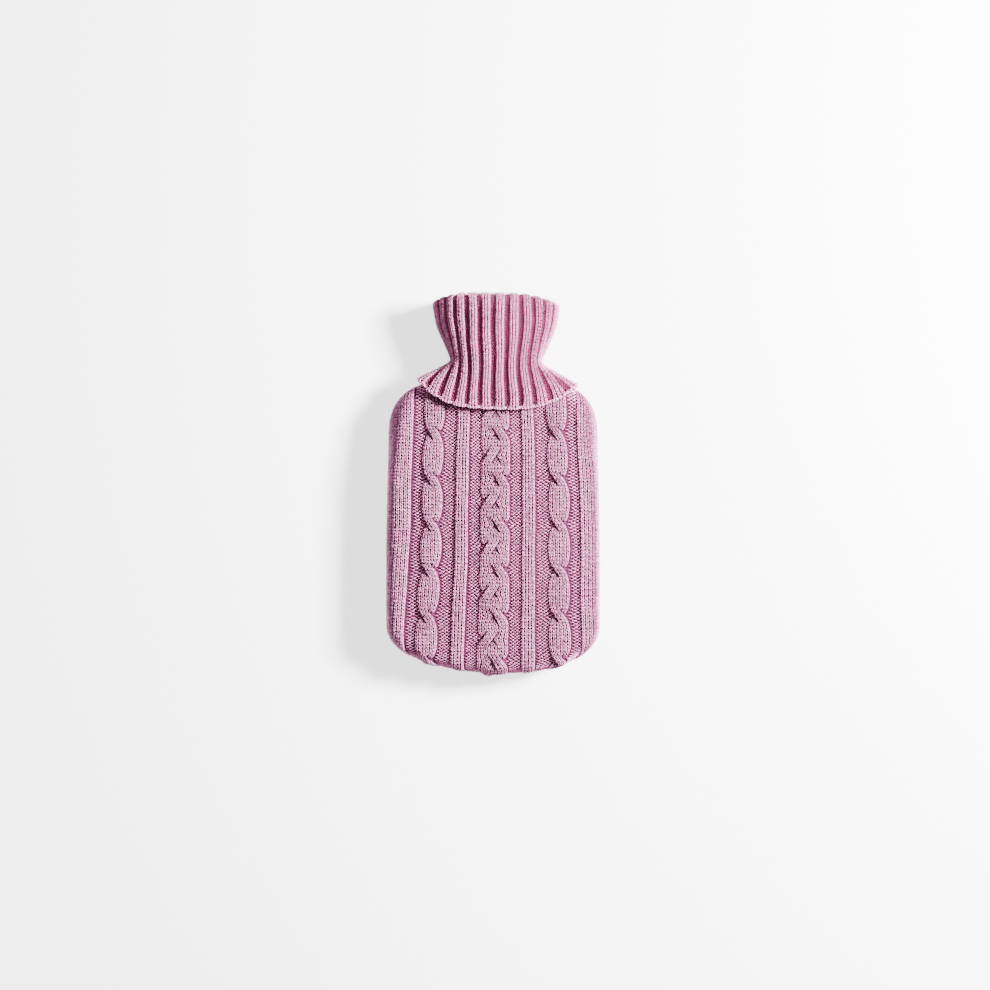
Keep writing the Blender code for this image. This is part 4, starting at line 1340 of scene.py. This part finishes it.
def add_node(tree, kind, links=(), **settings):
    """Adds a node, sets its values and inputs, and links outputs to its inputs by name or number."""
    made = tree.nodes.new(kind)
    for key, value in settings.items():
        if key in made.bl_rna.properties:
            setattr(made, key, value)
        else:
            made.inputs[int(key[1:]) if key[1:].isdigit() else key.replace("_", " ")].default_value = value
    for socket, output in links:
        tree.links.new(output, made.inputs[socket])
    return made


print("dusty pink in linear numbers:", [round(v, 3) for v in linear("#EE97CA")[:3]])

# %% Yarn
MATH, NOISE, BUMP = "ShaderNodeMath", "ShaderNodeTexNoise", "ShaderNodeBump"
PLIES = 2
PLY_TWIST = 2.2  # mm along the yarn for one turn of its plies
PLY_BUMP, FIBRE_BUMP = 0.00022, 0.00024  # metres
PLAIN_VALUE = 0.64  # brightness, to which these three are added
TONE_VALUE, FIBRE_VALUE, CLOUD_VALUE = 0.085, 0.36, 0.40


def yarn_material(name, lit, deep):
    """Soft two-ply acrylic yarn: matt, with a bloom of fibres. Where it lies low between stitches it takes
    the deep colour, a painted shade.
    """
    made = bpy.data.materials.new(name)
    made.use_nodes = True
    tree = made.node_tree
    shader = tree.nodes["Principled BSDF"]
    depth = add_node(tree, "ShaderNodeAttribute", attribute_name="depth")
    tone = add_node(tree, "ShaderNodeAttribute", attribute_name="tone")
    yarn = add_node(tree, "ShaderNodeUVMap", uv_map="yarn")
    along = add_node(tree, "ShaderNodeSeparateXYZ", [(0, yarn.outputs[0])])
    turned = add_node(tree, MATH, [(0, along.outputs[0])], operation="MULTIPLY", i1=2 * PLIES * math.pi)
    twist = add_node(tree, MATH, [(0, along.outputs[1]), (2, turned.outputs[0])],
                     operation="MULTIPLY_ADD", i1=2 * math.pi / PLY_TWIST)
    plies = add_node(tree, MATH, [(0, twist.outputs[0])], operation="SINE")
    # The fibres run along the yarn, so their noise is drawn out in that direction.
    stretch = add_node(tree, "ShaderNodeMapping", [("Vector", yarn.outputs[0])], Scale=(9.0, 0.8, 1.0))
    fibres = add_node(tree, NOISE, [("Vector", stretch.outputs[0])], Scale=2.2, Detail=3.0)
    place = add_node(tree, "ShaderNodeTexCoord")
    clouds = add_node(tree, NOISE, [("Vector", place.outputs["Object"])], Scale=28.0, Detail=2.0)

    # The depth value mixes the lit colour with the deep one, which is painted shade. The tone value adds each
    # stitch's own tone and its painted light.
    colour = add_node(tree, "ShaderNodeMix", [("Factor", depth.outputs["Fac"])], data_type="RGBA",
                      i6=linear(lit), i7=linear(deep))
    value = add_node(tree, MATH, [(0, tone.outputs["Fac"])], operation="MULTIPLY_ADD",
                     i1=TONE_VALUE, i2=PLAIN_VALUE)
    for noise, share in ((fibres, FIBRE_VALUE), (clouds, CLOUD_VALUE)):
        value = add_node(tree, MATH, [(0, noise.outputs["Fac"]), (2, value.outputs[0])],
                         operation="MULTIPLY_ADD", i1=share)
    shaded = add_node(tree, "ShaderNodeHueSaturation",
                      [("Color", colour.outputs[2]), ("Value", value.outputs[0])])
    tree.links.new(shaded.outputs[0], shader.inputs["Base Color"])

    bump = add_node(tree, BUMP, [("Height", plies.outputs[0])], Strength=1.0, Distance=PLY_BUMP)
    bump = add_node(tree, BUMP, [("Height", fibres.outputs["Fac"]), ("Normal", bump.outputs[0])],
                    Strength=1.0, Distance=FIBRE_BUMP)
    tree.links.new(bump.outputs[0], shader.inputs["Normal"])
    shader.inputs["Roughness"].default_value = 0.88
    shader.inputs["Specular IOR Level"].default_value = 0.25
    shader.inputs["Sheen Weight"].default_value = 0.12
    shader.inputs["Sheen Roughness"].default_value = 0.45
    shader.inputs["Sheen Tint"].default_value = linear("#FFD6EA")
    return made


body_yarn = yarn_material("dusty_pink_acrylic_yarn", "#EE97CA", "#561A42")
# The collar's copy of the yarn is lighter and redder: painted light for the pink light its ribs throw on each
# other, and a painted shade colour for its grooves.
collar_yarn = yarn_material("dusty_pink_rib_yarn_with_painted_bounce_light", "#FCA0D2", "#761A4A")
print("the collar's yarn is a little redder, because its ribs throw pink light on each other")

# %% Packed yarn, and the floor
GROUND_BUMP = 0.0007  # metres


def ground_material(name, colour_in, colour_out):
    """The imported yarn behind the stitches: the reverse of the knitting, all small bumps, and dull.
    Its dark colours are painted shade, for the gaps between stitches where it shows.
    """
    made = bpy.data.materials.new(name)
    made.use_nodes = True
    tree = made.node_tree
    shader = tree.nodes["Principled BSDF"]
    yarn = add_node(tree, "ShaderNodeUVMap", uv_map="yarn")
    along = add_node(tree, "ShaderNodeSeparateXYZ", [(0, yarn.outputs[0])])
    waves = []
    for output in along.outputs[:2]:
        angle = add_node(tree, MATH, [(0, output)], operation="MULTIPLY", i1=2 * math.pi)
        waves.append(add_node(tree, MATH, [(0, angle.outputs[0])], operation="COSINE"))
    bumps = add_node(tree, MATH, [(i, wave.outputs[0]) for i, wave in enumerate(waves)], operation="MULTIPLY")
    share = add_node(tree, MATH, [(0, bumps.outputs[0])], operation="MULTIPLY_ADD", i1=0.5, i2=0.5)
    colour = add_node(tree, "ShaderNodeMix", [("Factor", share.outputs[0])], data_type="RGBA",
                      i6=linear(colour_in), i7=linear(colour_out))
    tree.links.new(colour.outputs[2], shader.inputs["Base Color"])
    bump = add_node(tree, BUMP, [("Height", share.outputs[0])], Strength=1.0, Distance=GROUND_BUMP)
    tree.links.new(bump.outputs[0], shader.inputs["Normal"])
    shader.inputs["Roughness"].default_value = 0.92
    shader.inputs["Specular IOR Level"].default_value = 0.2
    return made


# Both grounds are dark with painted shade, since they show only in the gaps between stitches.
ground_yarn = ground_material("pink_yarn_in_painted_shade", "#380E2C", "#621E48")
collar_ground_yarn = ground_material("pink_rib_yarn_in_painted_shade", "#821C4C", "#AC3A72")

# Matt white wall paint has no gloss, and a glow of its own keeps it as white as a photographer's sweep.
floor_paint = bpy.data.materials.new("matt_white_paint")
floor_paint.use_nodes = True
paint = floor_paint.node_tree.nodes["Principled BSDF"]
paint.inputs["Base Color"].default_value = linear("#F8F8F8")
paint.inputs["Roughness"].default_value = 0.9
paint.inputs["Emission Color"].default_value = linear("#FFFFFF")
paint.inputs["Emission Strength"].default_value = 1.9
floor.data.materials.append(floor_paint)
print("materials:", sorted(m.name for m in bpy.data.materials if m.use_nodes))

# %% [markdown]
# ## Putting it together
#
# Each piece wears its yarn and rides on the cover.
# The three grounds are sheets of cloth with a flat size, and the stitches belong to them. All could be
# joined in one object, but then no single piece could be used again or finished anew.

# %% Dress, attach, and hide the solid parts
PIECES = (
    # piece, material, the record's slot
    (front_cloth, ground_yarn, "cable_knit"),
    (front_plain, body_yarn, "cable_knit"),
    (front_purl, body_yarn, "cable_knit"),
    (front_cables, body_yarn, "cable_knit"),
    (back_cloth, ground_yarn, "plain_knit"),
    (back_stitches, body_yarn, "plain_knit"),
    (seam_stitches, body_yarn, "cable_knit"),
    (collar_cloth, collar_ground_yarn, "rib_knit"),
    (collar_ribs, collar_yarn, "rib_knit"),
    (collar_grooves, collar_yarn, "rib_knit"),
    (collar_edge, collar_yarn, "rib_knit"),
)
for piece, material, slot in PIECES:
    piece.data.materials.append(material)
    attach(piece, "root")
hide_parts("front_panel")
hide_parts("back_panel")
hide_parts("roll_collar")
